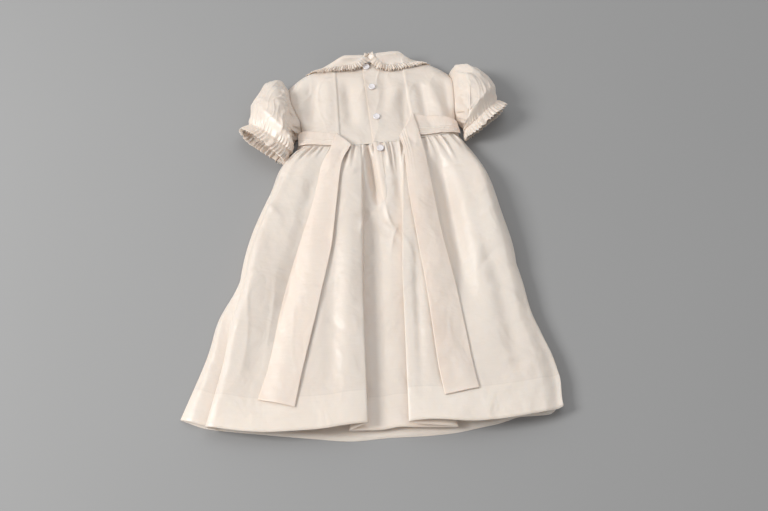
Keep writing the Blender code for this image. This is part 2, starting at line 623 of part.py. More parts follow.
def highest_near(points, x, y, reach):
    """Highest of the given points within reach of each place, for a piece that lies on them."""
    flat = points.reshape(-1, 3)
    found = np.full(np.shape(x), -1.0)
    for i in np.ndindex(np.shape(x)):
        near = (np.abs(flat[:, 0] - x[i]) < reach) & (np.abs(flat[:, 1] - y[i]) < reach)
        if near.any():
            found[i] = flat[near, 2].max()
    return found


for old in list(bpy.data.objects):
    bpy.data.objects.remove(old)
gown = bpy.data.collections.new("christening_gown")
bpy.context.scene.collection.children.link(gown)

ivory = silk("ivory_silk", (0.86, 0.79, 0.70), 0.45)
pearl = silk("pearl", (0.90, 0.88, 0.87), 0.2)

s, t = grid(11, 81)
for share in rows_to_columns(SKIRT_FOLDS, SKIRT_COLUMNS)["share"]:
    s[:, np.argmin(np.abs(s[0] - share))] = share
back_skirt = skirt_back(s, t**1.5)
cloth("skirt_back", back_skirt, ivory)
s, t = grid(7, 29)
cloth("skirt_front", skirt_front(s, t), ivory)
lying = [fine(back_skirt).reshape(-1, 3)]

u, v = grid(9, 29)
cloth("bodice_front", bodice_front(u, v), ivory)
u, v = grid(11, 19)
for side in ("left", "right"):
    half = bodice_back(side, u, v)
    cloth(f"bodice_back_{side}", half, ivory)
    lying.append(fine(half).reshape(-1, 3))
under = np.concatenate(lying)

angle, p = grid(11, 49)
for side in ("left", "right"):
    rings = sleeve(side, p[:, :-1], 2.0 * np.pi * angle[:, :-1])
    cloth(f"sleeve_{side}", rings, ivory, closed=True)

for side in ("left", "right"):
    back = np.append(np.linspace(0.0, 0.88, 2 * COLLAR_STATIONS - 1), (0.94, 1.0))
    front = np.linspace(1.06, 2.0, 10)
    cloth(f"collar_{side}", collar(side, np.concatenate([back[::2], front])), ivory)
    cloth(f"collar_frill_{side}", collar_frill(side, np.concatenate([back, front])), ivory)

strip = placket(under)
cloth("skirt_placket", strip, ivory)
under = np.concatenate([under, fine(strip).reshape(-1, 3)])
for side in ("left", "right"):
    cloth(f"sash_{side}", sash(side, under), ivory)
for number, place in enumerate(BUTTONS, 1):
    button(f"button_{number}", place, under, pearl)
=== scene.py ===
"""Looks of a christening gown of slubbed ivory silk that lies on its front with the back up.

Every piece is a surface worked out from the gown's sizes, in millimetres in a drafting frame whose
origin is near the middle of the waist. A mesh is made in metres, in the frame of the CAD model.
"""

import math

import bpy
import numpy as np
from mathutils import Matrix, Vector


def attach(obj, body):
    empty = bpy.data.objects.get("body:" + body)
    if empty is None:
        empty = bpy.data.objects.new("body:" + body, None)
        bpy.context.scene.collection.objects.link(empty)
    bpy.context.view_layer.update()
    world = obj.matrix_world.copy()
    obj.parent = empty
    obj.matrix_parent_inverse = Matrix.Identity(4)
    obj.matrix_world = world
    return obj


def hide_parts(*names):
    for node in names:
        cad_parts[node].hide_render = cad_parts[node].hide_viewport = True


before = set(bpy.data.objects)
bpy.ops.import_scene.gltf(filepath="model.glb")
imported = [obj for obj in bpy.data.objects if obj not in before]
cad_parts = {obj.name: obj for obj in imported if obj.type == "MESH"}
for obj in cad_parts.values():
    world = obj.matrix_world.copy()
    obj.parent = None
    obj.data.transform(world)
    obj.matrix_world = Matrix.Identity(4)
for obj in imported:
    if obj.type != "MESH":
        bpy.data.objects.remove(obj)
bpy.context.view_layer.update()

MM = 0.001

# Frame and view
ORIGIN = (3.44, 156.46)
LOOK_AT = (17.4, -41.5, 0.0)
VIEW_ELEVATION = 59.0
VIEW_DISTANCE = 1617.0
LENS = 50.0

# Cloth: thickness of the shells, the step from one layer to the next, and the layer on the floor
CLOTH = 0.5
SASH_CLOTH = 0.7
FRILL_CLOTH = 0.4
LAYER = 1.35
FLOOR_LAYER = 0.5

# Uneven ripples: how many waves they sum, and the range of the waves' lengths round the size
RIPPLE_WAVES = 14
RIPPLE_LENGTHS = (0.7, 1.6)

# Way across from the centre line
OUTWARD = {"left": -1.0, "right": 1.0}

# Waist
WAIST_MIDDLE = (5.5, -3.0)
WAIST_HALF = 131.5
WAIST_TILT = 0.115
WAIST_SAG = 9.0
# The skirt starts and the bodice ends a little below the seam's line
SKIRT_GAP = 0.15
BODICE_GAP = 0.3

# Bodice
BODICE_TURN = math.radians(7.0)
BODICE_HEIGHT = 23.0
SIDE_ROUND = 32.0
SHOULDER_TIP = (134.0, 143.0)
SHOULDER_MIDDLE = (104.0, 163.0)
NECK_POINT = (74.0, 175.0)
BACK_NECK_DROP = 8.0
FRONT_NECK_DROP = 55.0
# Share of its height that the back keeps at the armhole, and the heights between which it does
OPEN_EDGE = 0.75
OPEN_EDGE_UP = (40.0, 65.0, 118.0, 143.0)
# The side seam rises by another layer between these heights, over the collar's front half
SEAM_RISE_UP = (70.0, 110.0)
# Height where the side seam is read for the waist, and where its foot is placed
SIDE_READ_UP = 6.0
SIDE_FOOT_UP = 5.0
# The collar's front half lies under the front, to this far across and down from the neckline
UNDER_FRONT_ACROSS = 124.0
UNDER_FRONT_DOWN = (84.0, 104.0)
SIDE_EDGES = {          # up, across: side seam and armhole
    "left": ((0, 132), (12, 131), (45, 120.5), (56, 120), (79, 126), (106, 132.5), (143, 133.5)),
    "right": ((0, 132.5), (12, 132.5), (26, 133.5), (53, 131.5), (84, 134.8), (118, 136.8), (143, 134.5)),
}
# The lap's edges: the right half's, which has the buttonholes, and the left half's under it. The
# right half is raised and the left one lowered by a share of a layer, and that fades outward
BUTTON_EDGE = -9.0
UNDER_EDGE = 12.0
LAP_LIFT = 0.6
LAP_FADE = (14.0, 34.0)
# Each tuck's place across at the waist and at the neck, its height, how its steep side rises and its
# other side falls, and the heights between which it fades out below the neck
TUCKS = {"left": (-62.0, -54.0), "right": (61.0, 59.0)}
TUCK_HEIGHT = 2.0
TUCK_STEEP = (-3.5, 0.8)
TUCK_FALL = 9.0
TUCK_END = (150.0, 172.0)
# Soft folds fade over this far from the side seam and from the upper edge
FOLDS_OFF_SIDE = 14.0
FOLDS_OFF_TOP = 12.0

# Skirt: the share of the way down to its middle section, and how sharply its folds spring out from
# the waist, at the left side and how much more at the right
KNEE = 0.52
SPRING = 1.75
SPRING_RIGHT = 0.45
# The right side bulges out above the hem
RIGHT_BULGE = 8.0
HEM_BAND = 50.0
# Points of the front's hem, from seam to seam
FRONT_HEM = (
    (-268.0, -465.0), (-230.0, -478.0), (-145.0, -487.0), (-88.0, -492.0), (-31.0, -496.0),
    (22.0, -491.0), (68.0, -488.5), (110.0, -484.0), (149.0, -475.5), (173.0, -470.0),
    (189.0, -464.5), (202.0, -460.0), (222.0, -458.5), (245.0, -456.0), (260.0, -442.0),
)
# Fold lines of the back: share of the cloth from seam to seam, and places at the knee and the hem
SKIRT_COLUMNS = ("line", "share", "knee_x", "knee_z", "hem_x", "hem_y", "hem_z")
SKIRT_FOLDS = (
    ("left_seam", 0.000, -199, 1.9, -268, -465, 1.9),
    ("left_flap", 0.035, -198, 11.0, -251, -471, 8.0),
    ("left_ridge_foot", 0.065, -191, 16.0, -217, -480, 3.0),
    ("left_ridge", 0.090, -187, 22.0, -230, -481, 15.5),
    ("left_ridge_top", 0.115, -177, 25.0, -217, -484, 22.5),
    ("left_middle", 0.200, -135, 25.0, -150, -491, 23.0),
    ("left_inner", 0.290, -70, 26.0, -80, -488, 25.0),
    ("panel_edge_inner", 0.350, -34, 30.0, -36, -482, 27.0),
    ("panel_edge", 0.385, -18, 26.5, -8, -478, 24.0),
    ("pleat_under_left", 0.415, -16, 7.5, -33, -484, 11.0),
    ("recess", 0.470, 6, 7.5, 10, -482, 8.0),
    ("recess_middle", 0.510, 26, 11.5, 40, -478, 9.0),
    ("pleat_under_right", 0.580, 45, 12.0, 112, -479, 9.5),
    ("pleat_turn_right", 0.600, 49, 15.0, 116, -479, 11.5),
    ("pleat_over_right", 0.620, 46, 18.5, 112, -479, 13.5),
    ("right_edge", 0.665, 41.5, 26.0, 48, -476, 21.5),
    ("right_edge_inner", 0.710, 55, 27.0, 76, -474, 28.0),
    ("right_inner", 0.790, 118, 23.0, 130, -476, 27.0),
    ("right_middle", 0.860, 162, 27.5, 175, -472, 25.0),
    ("right_roll", 0.935, 195, 29.5, 236, -460, 22.0),
    ("right_hollow", 0.962, 208, 24.0, 255.5, -454, 15.5),
    ("right_flap", 0.978, 211.5, 19.0, 262, -449, 16.5),
    ("right_seam", 1.000, 213, 1.9, 260, -442, 1.9),
)
# The side lines stray outward from that, or inward where the last number is below 0: at a share of
# the way down, over a width, by so much
SIDE_STRAYS = {
    "left": ((0.07, 0.07, 8.0), (0.66, 0.09, 8.0)),
    "right": ((0.32, 0.13, -8.0), (0.70, 0.09, -7.0), (0.79, 0.03, -1.0)),
}
# Gathers under the waist: waves across the skirt, their phase and height, the shares of the way down
# where they start to fade and end, and the swing of that end, with its rate and phase
WAIST_GATHERS = (
    (47.0, 0.0, 1.3, 0.00, 0.05, 0.02, 40.0, 0.0),
    (24.0, 0.6, 2.6, 0.01, 0.10, 0.04, 23.0, 1.0),
    (10.5, 2.0, 1.0, 0.04, 0.24, 0.10, 11.0, 0.0),
)
# Rise of the cloth just below the seam
WAIST_PUFF = 3.0
# Soft folds on the back: name, x and y of the top and of the foot of a line, half width, and height
SKIRT_SOFT_FOLDS = (
    ("valley_by_right_sash", 97, -8, 139, -300, 13, -12.0),
    ("ridge_right_of_it", 124, -30, 166, -300, 12, 3.0),
    ("light_band_left", -152, -40, -205, -400, 18, 3.0),
    ("hollow_right_of_left_ridge", -122, -190, -172, -480, 26, -7.0),
    ("hollow_at_left_sash", -84, -25, -150, -415, 16, -6.5),
    ("column_left_of_centre", -44, -50, -36, -470, 12, 2.0),
    ("hollow_in_left_panel", -64, -180, -58, -460, 12, -3.0),
    ("hollow_inside_right_edge", 60, -170, 68, -465, 7, -3.0),
    ("light_band_right", 140, -50, 176, -400, 20, 2.5),
    ("hollow_by_right_side", 172, -190, 208, -430, 12, -2.5),
    ("hip_puff", 158, -5, 190, -240, 20, 8.0),
    ("opening_at_lap", -13, 2, 6, -122, 5.5, -11.0),
    ("lap_panel", 16, -10, 30, -150, 13, 4.0),
    ("fold_left_of_opening", -20, -8, -12, -110, 5, 2.5),
)
BODICE_SOFT_FOLDS = (
    ("hollow_by_left_side", -104, 130, -103, 20, 13, -5.6),
    ("ridge_left_of_tuck", -80, 135, -72, 15, 9, 2.24),
    ("hollow_right_of_tuck", -48, 130, -37, 20, 10, -4.76),
    ("ridge_left_of_lap", -24, 140, -18, 20, 9, 3.08),
    ("hollow_right_of_lap", 14, 140, 16, 15, 9, -2.8),
    ("slanting_ridge", 42, 130, 6, 20, 11, 3.64),
    ("hollow_left_of_right_tuck", 48, 110, 48, 10, 9, -3.92),
    ("hollow_right_of_right_tuck", 74, 130, 86, 25, 9, -4.76),
    ("slanting_ridge_right", 84, 130, 118, 20, 10, 4.2),
    ("hollow_by_right_side", 112, 140, 126, 30, 9, -2.8),
)
# Creases left by folding and wear, of the same form, but with a sharp top on a line that bows by a
# share of its length
CREASE_BOW = 0.08
CREASES = (
    ("right_panel_1", 128, -118, 182, -86, 4, 2.0),
    ("right_panel_2", 142, -158, 192, -122, 4, 1.8),
    ("right_panel_3", 140, -245, 196, -200, 5, -1.8),
    ("right_panel_4", 170, -262, 214, -296, 5, 1.6),
    ("arch_left", -19, -178, -6, -126, 4, 2.6),
    ("arch_top", -14, -130, 20, -126, 5, 1.2),
    ("arch_right", 14, -112, 38, -168, 4, 3.0),
    ("lap_crease_down", 40, -152, 22, -200, 4, 2.6),
    ("knot_of_folds", 3, -126, 15, -106, 3, 1.6),
    ("left_panel_1", -190, -250, -150, -232, 5, -1.8),
    ("left_panel_2", -205, -330, -150, -344, 5, 1.6),
    ("left_panel_3", -172, -120, -132, -150, 5, 1.8),
    ("left_panel_4", -70, -318, -20, -350, 5, -1.5),
    ("pucker_by_left_sash", -72, -262, -44, -246, 3, 1.8),
    ("hip_left", -52, -58, -24, -62, 3, 1.5),
    ("right_panel_5", 62, -330, 96, -350, 5, 1.4),
    ("right_panel_6", 176, -390, 228, -374, 5, 1.5),
)
# Fine crumples of each part: height, size, seed, direction in radians, and stretch that way
SKIRT_CRUMPLES = ((0.9, 120.0, 5, 1.3, 1.5), (0.4, 45.0, 8, 0.4, 1.5))
BODICE_CRUMPLES = ((0.9, 60.0, 31, 1.4, 1.8),)
SLEEVE_CRUMPLES = ((0.06, 60.0, 5, 0.6, 1.0), (0.03, 26.0, 7, 1.2, 1.6))
BAND_CRUMPLES = ((0.25, 22.0, 41, 0.0, 1.0),)
TAIL_CRUMPLES = ((0.5, 60.0, 42, 1.4, 2.5),)

# Sleeves: rings from the armhole to the rim, each with its share of the length, its ends at the head
# and under the arm, the height of its top, and how far that leans out
RING_COLUMNS = ("ring", "share", "head_x", "head_y", "under_x", "under_y", "top", "lean")
SLEEVES = {
    "left": (
        ("gathered_head", 0.00, -150, 124, -126, 24, 32, 0),
        ("puff_head", 0.12, -157, 122, -130, 16, 42, 0),
        ("puff", 0.36, -178, 108, -134, 5, 53, 0),
        ("puff_low", 0.62, -199, 66, -130, -8, 55, 0),
        ("elastic", 0.84, -205, 38, -134, -19, 40, 3),
        ("rim", 1.00, -216, 22, -144, -36, 46, 5),
    ),
    "right": (
        ("gathered_head", 0.00, 126, 160, 139, 44, 32, 0),
        ("puff_head", 0.12, 134, 158, 144, 40, 42, 0),
        ("puff", 0.36, 164, 145, 147, 36, 54, 0),
        ("puff_low", 0.62, 193, 108, 144, 32, 54, 3),
        ("elastic", 0.84, 199, 90, 142, 25, 39, 9),
        ("rim", 1.00, 211, 78, 145, 12, 41, 13),
    ),
}
ARMHOLE_UP = (42.0, 142.0)
ARMHOLE_GAP = 0.3
# Middle of a ring, as a share of the height of its top, at the armhole and from the puff on
RING_MIDDLE = (0.12, 0.44)
SLEEVE_SEEDS = {"left": 70, "right": 80}
# Turn of the gathers round the sleeve on their way to the rim, in radians
GATHER_TURN = {"left": 0.9, "right": -0.54}
# Waves round the head, the puff, and the elastic with its frill, and their depths as shares of a ring
HEAD_WAVES, PUFF_WAVES, CUFF_WAVES = 20, 9, 36
HEAD_DEPTH, PUFF_DEPTH, CASING_DEPTH, RIM_DEPTH = 0.07, 0.07, 0.04, 0.08
ELASTIC_AT, ELASTIC_PINCH = 0.85, 0.08
# The frill's edge goes in and out, and up where it lies on the floor
RIM_SWAY = 1.6
RIM_LIFT = 3.6
# Size on which a sleeve's crumples are laid out, round it and along it
SLEEVE_ROUND, SLEEVE_LONG = 55.0, 120.0

# Collar: from the centre back, where its parameter is 0, by 1 at the shoulder to 2 at the centre front
COLLAR_START = {"left": 3.0, "right": 11.5}
COLLAR_BACK_DEPTH = {"left": 6.0, "right": 15.0}
COLLAR_SHOULDER_DEPTH = {"left": 19.0, "right": 24.0}
COLLAR_FRONT_DEPTH = 30.0
DEPTHS_AT = (0.45, 1.0, 1.5)
# Way that the cloth runs from the neck, in degrees below the line across: centre back and shoulder
COLLAR_WAYS = (90.0, 17.0)
FRONT_SWEEP = 84.0
COLLAR_CORNER = 0.5
COLLAR_TOP = -10.0
COLLAR_EDGE = 3.0
COLLAR_FLAT = {"left": 0.5, "right": 0.78}
# The roll at the neck: its share of the collar's columns, its width where it lies flat from the
# shoulder on, and its section at the back as way down from the seam and height
ROLL_SHARE = 0.4
FLAT_ROLL = 5.0
COLLAR_ROLL = ((-0.4, 0.0), (-6.0, 2.6), (-9.8, 6.8), (-8.8, 10.8), (-3.0, 11.2))
COLLAR_REST = 1.6
COLLAR_WRAP = 1.6
CORNER_LIFT = COLLAR_ROLL[-1][1]
CORNER_TURN = math.radians(80.0)
# Width of the turn round the shoulder, in the collar's parameter
SHOULDER_TURN = 0.06
COLLAR_FRILL = 10.5
COLLAR_WAVES = 25
FRILL_WAVE = 2.3

# Sash: points of its upper and its lower edge at the side seam, and the ends of its diagonal fold.
# Below that its outer and its inner edge hang down through points at the same y
SASH_SEAM = {"left": ((-124, 23), (-122, -7)), "right": ((131, 44), (137, 20))}
SASH_FOLD = {"left": ((-61, 12), (-38, -12)), "right": ((61, 54), (39, 6))}
SASH_COLUMNS = ("y", "outer_x", "inner_x")
SASHES = {
    "left": ((-18, -71, -41), (-50, -84, -53), (-113, -94, -58), (-186, -111, -63),
             (-280, -132, -78), (-400, -149, -100), (-450, -160, -108)),
    "right": ((-2, 74, 41), (-30, 80, 46), (-100, 91, 52), (-173, 102, 62),
              (-255, 118, 74), (-400, 140, 91), (-433, 146, 98)),
}
# The lower corner at the end of each sash hangs this much below the other
SASH_CUT = {"left": 13.0, "right": 11.0}
# Folds along the ribbon, as shares of its width from the upper edge, and their heights
SASH_PLEATS = (0.66, 0.79, 0.9)
BAND_LINES = 1.3
SASH_LINES = {"left": 0.15, "right": 0.8}
# Rise of the inner edge of the hanging part
SASH_TILT = {"left": 1.5, "right": 4.5}
# How far the ribbon spans over what is under it, and its height above that
SASH_REACH = 7.0
SASH_REST = 1.5
# The diagonal fold: rows of points that ease it, how far they go, its rise and how far it bends out
FOLD_ROWS = 12
FOLD_SHARE = 0.95
FOLD_RISE = 1.2
FOLD_BEND = 0.9

# Placket and buttons
PLACKET_LINE = ((-4, -2), (0, -32), (6, -72), (15, -116))
PLACKET_WIDTH = 11.0
PLACKET_REACH = 6.0
PLACKET_REST = 0.8
# It sinks into the skirt toward its outer edge and at its foot
PLACKET_SINK = (1.7, 2.5)
# Buttons: places across and up the bodice, the last one on the skirt, and how they rest on the cloth
BUTTONS = ((-2.0, 157.5), (2.4, 113.6), (2.7, 51.0), (1.1, -13.0))
BUTTON_REACH = 4.0
BUTTON_REST = 1.6
BUTTON_SIDES = 64
BUTTON_PROFILE = (      # radius, height
    (0.0, -1.2), (4.6, -1.2), (5.4, -0.9), (5.75, -0.3), (5.7, 0.3), (5.3, 0.9),
    (4.8, 1.15), (4.2, 1.0), (3.6, 0.6), (3.0, 0.45), (1.5, 0.4), (0.0, 0.4),
)

# Plan grid for the heights of what lies under a piece: its low corner, its cells, and their size
MAP_CORNER = (-300.0, -520.0)
MAP_COUNT = (310, 370)
MAP_CELL = 2.0

# Colours, the darker one first: silk, pearl resin and paper, and then the room's light
SILK = ("#e1d0c3", "#ebddd1")
PEARL = ("#d2cdd0", "#eeeaea")
PAPER = ("#969696", "#9a9a9a")
ROOM_LIGHT = (0.965, 0.965, 0.97, 1.0)
ROOM_STRENGTH = 0.56
# Half the floor's width in metres
FLOOR_HALF = 4.0


def smooth(x, low, high):
    """0 below low and 1 above high, with a smooth step between."""
    share = np.clip((x - low) / (high - low), 0.0, 1.0)
    return share * share * (3.0 - 2.0 * share)


def between(x, start, full, fading, end):
    """0 up to start, 1 from full to fading, and 0 again from end on."""
    return smooth(x, start, full) * (1.0 - smooth(x, fading, end))


def round_rise(x):
    """A quarter circle: 0 at x = 0, 1 from x = 1 on."""
    return np.sqrt(1.0 - (1.0 - np.clip(x, 0.0, 1.0)) ** 2)


def bell(x, width):
    """1 at x = 0, fading to 0 over a few widths."""
    return np.exp(-((x / width) ** 2))


def columns(rows, names):
    """The table's rows as one array for each named column."""
    return {name: np.array([row[i] for row in rows]) for i, name in enumerate(names)}


def through(at, values, x):
    """A smooth line through the table's values that never passes beyond them between two rows."""
    at = np.asarray(at, float)
    values = np.asarray(values, float)
    step = np.diff(at)
    slope = np.diff(values) / step
    tangent = np.zeros_like(values)
    total = np.where(np.abs(slope[:-1] + slope[1:]) < 1e-12, 1.0, slope[:-1] + slope[1:])
    product = slope[:-1] * slope[1:]
    tangent[1:-1] = np.where(product > 0, 2.0 * product / total, 0.0)
    tangent[0], tangent[-1] = slope[0], slope[-1]
    x = np.asarray(x, float)
    i = np.clip(np.searchsorted(at, x, side="right") - 1, 0, len(step) - 1)
    u = (x - at[i]) / step[i]
    return (
        values[i] * (2 * u**3 - 3 * u**2 + 1) + tangent[i] * step[i] * (u**3 - 2 * u**2 + u)
        + values[i + 1] * (3 * u**2 - 2 * u**3) + tangent[i + 1] * step[i] * (u**3 - u**2)
    )


def ripples(x, y, size, seed, along=0.0, stretch=1.0):
    """Uneven ripples between about -1 and 1: the sum of waves in all directions, of lengths near
    size, drawn out by stretch in the direction along, in radians."""
    draw = np.random.default_rng(seed)
    c, s = math.cos(along), math.sin(along)
    u, v = (x * c + y * s) / stretch, y * c - x * s
    total = np.zeros(np.broadcast(x, y).shape)
    for _ in range(RIPPLE_WAVES):
        turn, length = draw.uniform(0, 2 * np.pi), size * draw.uniform(*RIPPLE_LENGTHS)
        phase = draw.uniform(0, 2 * np.pi)
        total += np.sin((u * math.cos(turn) + v * math.sin(turn)) * 2 * np.pi / length + phase)
    return total / math.sqrt(RIPPLE_WAVES * 1.2)


def crumple(x, y, size, seed, along, stretch):
    """Crisp uneven creases between 0 and 1: 1 minus the height of ripples, which makes sharp ridges,
    in a plan that other ripples bend."""
    bent_x = x + 0.3 * size * ripples(x, y, size * 1.7, seed + 50)
    bent_y = y + 0.3 * size * ripples(x, y, size * 1.9, seed + 51)
    ridge = 1.0 - 1.3 * np.abs(ripples(bent_x, bent_y, size, seed, along, stretch))
    return np.clip(ridge, 0.0, 1.0) ** 1.5


def crumples(x, y, table, first_seed=0):
    """Sum of the table's crumples, each times its height."""
    return sum(height * crumple(x, y, size, first_seed + seed, along, stretch)
               for height, size, seed, along, stretch in table)


def waist_y(x):
    """The waist seam: a tilted line that sags in its middle."""
    across = (x - WAIST_MIDDLE[0]) / WAIST_HALF
    return WAIST_MIDDLE[1] + WAIST_TILT * x + WAIST_SAG * across**2


def waist_point(s):
    """Point of the waist seam, as x and y, at a share s of its width."""
    x = WAIST_MIDDLE[0] + WAIST_HALF * (2.0 * s - 1.0)
    return x, waist_y(x)


def bodice_to_plan(across, up):
    """From the bodice's own frame to the drafting frame."""
    c, s = math.cos(BODICE_TURN), math.sin(BODICE_TURN)
    return WAIST_MIDDLE[0] + across * c - up * s, WAIST_MIDDLE[1] + across * s + up * c


def plan_to_bodice(x, y):
    """From the drafting frame to the bodice's own."""
    c, s = math.cos(BODICE_TURN), math.sin(BODICE_TURN)
    dx, dy = x - WAIST_MIDDLE[0], y - WAIST_MIDDLE[1]
    return dx * c + dy * s, dy * c - dx * s


def shoulder_up(across):
    """Height of the shoulder line, from the neck point to the shoulder's tip."""
    at = (NECK_POINT[0], SHOULDER_MIDDLE[0], SHOULDER_TIP[0])
    up = (NECK_POINT[1], SHOULDER_MIDDLE[1], SHOULDER_TIP[1])
    return through(at, up, np.clip(np.abs(across), at[0], at[-1]))


def back_top(across):
    """The back's upper edge: the neckline, then the shoulder."""
    neck = NECK_POINT[1] - BACK_NECK_DROP * (1.0 - (across / NECK_POINT[0]) ** 2)
    return np.where(np.abs(across) < NECK_POINT[0], neck, shoulder_up(across))


def front_top(across):
    """The front's upper edge: a deep round neckline, then the shoulder."""
    inside = np.clip(1.0 - (across / NECK_POINT[0]) ** 2, 0.0, 1.0)
    neck = NECK_POINT[1] - FRONT_NECK_DROP * np.sqrt(inside)
    return np.where(np.abs(across) < NECK_POINT[0], neck, shoulder_up(across))


def side_across(up, side):
    """Distance of the side seam and the armhole from the centre line, always positive."""
    edge = np.array(SIDE_EDGES[side], float)
    return through(edge[:, 0], edge[:, 1], np.clip(up, 0.0, edge[-1, 0]))


def back_height(across, up):
    """Height of the bodice's back: a low cushion, rounded to its seams and open at the armholes."""
    edge = np.where(across < 0, side_across(up, "left"), side_across(up, "right"))
    inward = np.maximum(edge - np.abs(across), 0.0)
    open_edge = OPEN_EDGE * between(up, *OPEN_EDGE_UP)
    side = open_edge + (1.0 - open_edge) * round_rise(inward / SIDE_ROUND)
    over_neck = 1.0 - np.clip(np.abs(across) / NECK_POINT[0], 0.0, 1.0) ** 2.5
    below = np.maximum(back_top(across) - up, 0.0) + SIDE_ROUND * over_neck
    seam = FLOOR_LAYER + LAYER * (1.0 + smooth(up, *SEAM_RISE_UP))
    return seam + (BODICE_HEIGHT - seam) * side * round_rise(below / SIDE_ROUND)


def tuck_line(up, side):
    """Where the tuck's edge runs, across from the centre."""
    return TUCKS[side][0] + (TUCKS[side][1] - TUCKS[side][0]) * up / NECK_POINT[1]


def tuck_height(across, up, side):
    """A pressed tuck from the waist to the neck: steep on its inner side, falling slowly outward."""
    off = (across - tuck_line(up, side)) * OUTWARD[side]
    fade = 1.0 - smooth(up, *TUCK_END)
    return TUCK_HEIGHT * fade * smooth(off, *TUCK_STEEP) * np.exp(-np.maximum(off, 0.0) / TUCK_FALL)


def front_height(across, up):
    """The front lies on the floor, and on the front half of the collar near the neck."""
    down = front_top(across) - up
    near = np.clip(1.0 - (np.abs(across) / UNDER_FRONT_ACROSS) ** 6, 0.0, 1.0)
    return FLOOR_LAYER + LAYER * (1.0 - smooth(down, *UNDER_FRONT_DOWN)) * smooth(near, 0.0, 0.5)


def lines_of_folds(x, y, table, sharp=False):
    """Sum of the table's folds, fading at their ends: each a bell across its line, or a sharp ridge
    across a line that bows."""
    total = np.zeros(np.broadcast(x, y).shape)
    for i, (_, top_x, top_y, foot_x, foot_y, half_width, height) in enumerate(table):
        run, fall = foot_x - top_x, foot_y - top_y
        length = math.hypot(run, fall)
        along = ((x - top_x) * run + (y - top_y) * fall) / length**2
        off = ((x - top_x) * fall - (y - top_y) * run) / length
        if sharp:
            off = off - CREASE_BOW * length * np.sin(np.pi * np.clip(along, 0.0, 1.0) + i)
            profile = np.exp(-np.abs(off) / half_width)
        else:
            profile = bell(off, half_width)
        total += height * between(along, -0.06, 0.25, 0.6, 1.06) * profile
    return total


def gathers(s, t):
    """Gathers under the waist seam: waves of uneven width and depth that end within a few centimetres,
    and the cloth puffs up a little below the seam."""
    bent = s + 0.0045 * np.sin(2 * np.pi * 7.3 * s) + 0.003 * np.sin(2 * np.pi * 17.1 * s + 1.3)
    bent = bent + 0.0015 * ripples(s * 400, t * 120, 60, 21)
    deep = 0.8 + 0.45 * np.sin(2 * np.pi * 9.4 * s + 0.7)
    total = np.zeros_like(bent)
    for waves, phase, height, fading, end, swing, rate, start in WAIST_GATHERS:
        fade = 1.0 - smooth(t, fading, end + swing * np.sin(rate * s + start))
        total += height * np.cos(2 * np.pi * waves * bent + phase) * fade
    return smooth(t, -0.008, 0.018) * (deep * total + WAIST_PUFF * bell(t - 0.06, 0.04))


def skirt_back(s, t):
    """Point of the back skirt: s across the cloth from seam to seam, t down from waist to hem. A fold
    line springs out from the waist to the knee's section, and runs straight from there to the hem's."""
    table = columns(SKIRT_FOLDS, SKIRT_COLUMNS)
    section = {name: through(table["share"], table[name], s) for name in SKIRT_COLUMNS[2:]}
    waist_x, seam_y = waist_point(s)
    waist_z = back_height(*plan_to_bodice(waist_x, seam_y))
    spring = 1.0 - (1.0 - np.clip(t / KNEE, 0.0, 1.0)) ** (SPRING + SPRING_RIGHT * s)
    fall = np.clip((t - KNEE) / (1.0 - KNEE), 0.0, 1.0)
    x = waist_x + (section["knee_x"] - waist_x) * spring + (section["hem_x"] - section["knee_x"]) * fall
    z = waist_z + (section["knee_z"] - waist_z) * spring + (section["hem_z"] - section["knee_z"]) * fall
    x = x + RIGHT_BULGE * smooth(s, 0.86, 0.98) * between(t, 0.5, 0.84, 0.9, 1.0)
    near = {"left": 1.0 - smooth(s, 0.03, 0.2), "right": smooth(s, 0.8, 0.97)}
    for side, strays in SIDE_STRAYS.items():
        for middle, width, far in strays:
            x = x + OUTWARD[side] * far * bell(t - middle, width) * near[side] * smooth(t, 0.0, 0.02)
    start = seam_y - SKIRT_GAP
    y = start + (section["hem_y"] - start) * t
    off_seams = between(s, 0.0, 0.05, 0.95, 1.0)
    wrinkle = crumples(x, y, SKIRT_CRUMPLES) + 0.5 * ripples(x, y, 70.0, 6, 1.57, 3.0)
    wrinkle = wrinkle * smooth(t, 0.03, 0.2)
    folds = lines_of_folds(x, y, SKIRT_SOFT_FOLDS) + lines_of_folds(x, y, CREASES, sharp=True)
    z = z + off_seams * (gathers(s, t) + folds + wrinkle)
    return np.stack([x, y, np.maximum(z, FLOOR_LAYER + LAYER)], axis=-1)


def skirt_front(s, t):
    """Point of the front skirt: flat on the floor, between the same two side lines as the back."""
    left, right = skirt_back(np.zeros_like(t), t), skirt_back(np.ones_like(t), t)
    x = left[..., 0] + (right[..., 0] - left[..., 0]) * s
    hem = np.array(FRONT_HEM)
    hem_y = through(hem[:, 0], hem[:, 1], hem[0, 0] + (hem[-1, 0] - hem[0, 0]) * s)
    start = waist_point(s)[1] - SKIRT_GAP
    return np.stack([x, start + (hem_y - start) * t, np.full_like(x, FLOOR_LAYER)], axis=-1)


def bodice_panel(across_of, top_line, height, u, v):
    """Point of a bodice panel: across_of gives its width at a height, top_line its upper edge."""
    low = across_of(np.full_like(u, SIDE_READ_UP), u)
    high = across_of(np.full_like(u, SHOULDER_TIP[1]), u)
    waist_x = bodice_to_plan(low, SIDE_FOOT_UP)[0]
    waist_up = plan_to_bodice(waist_x, waist_y(waist_x) - BODICE_GAP)[1]
    up = waist_up + (top_line(high) - waist_up) * v
    side_up = waist_up + (SHOULDER_TIP[1] - waist_up) * v
    across = across_of(side_up, u)
    x, y = bodice_to_plan(across, up)
    return np.stack([x, y, height(across, up)], axis=-1)


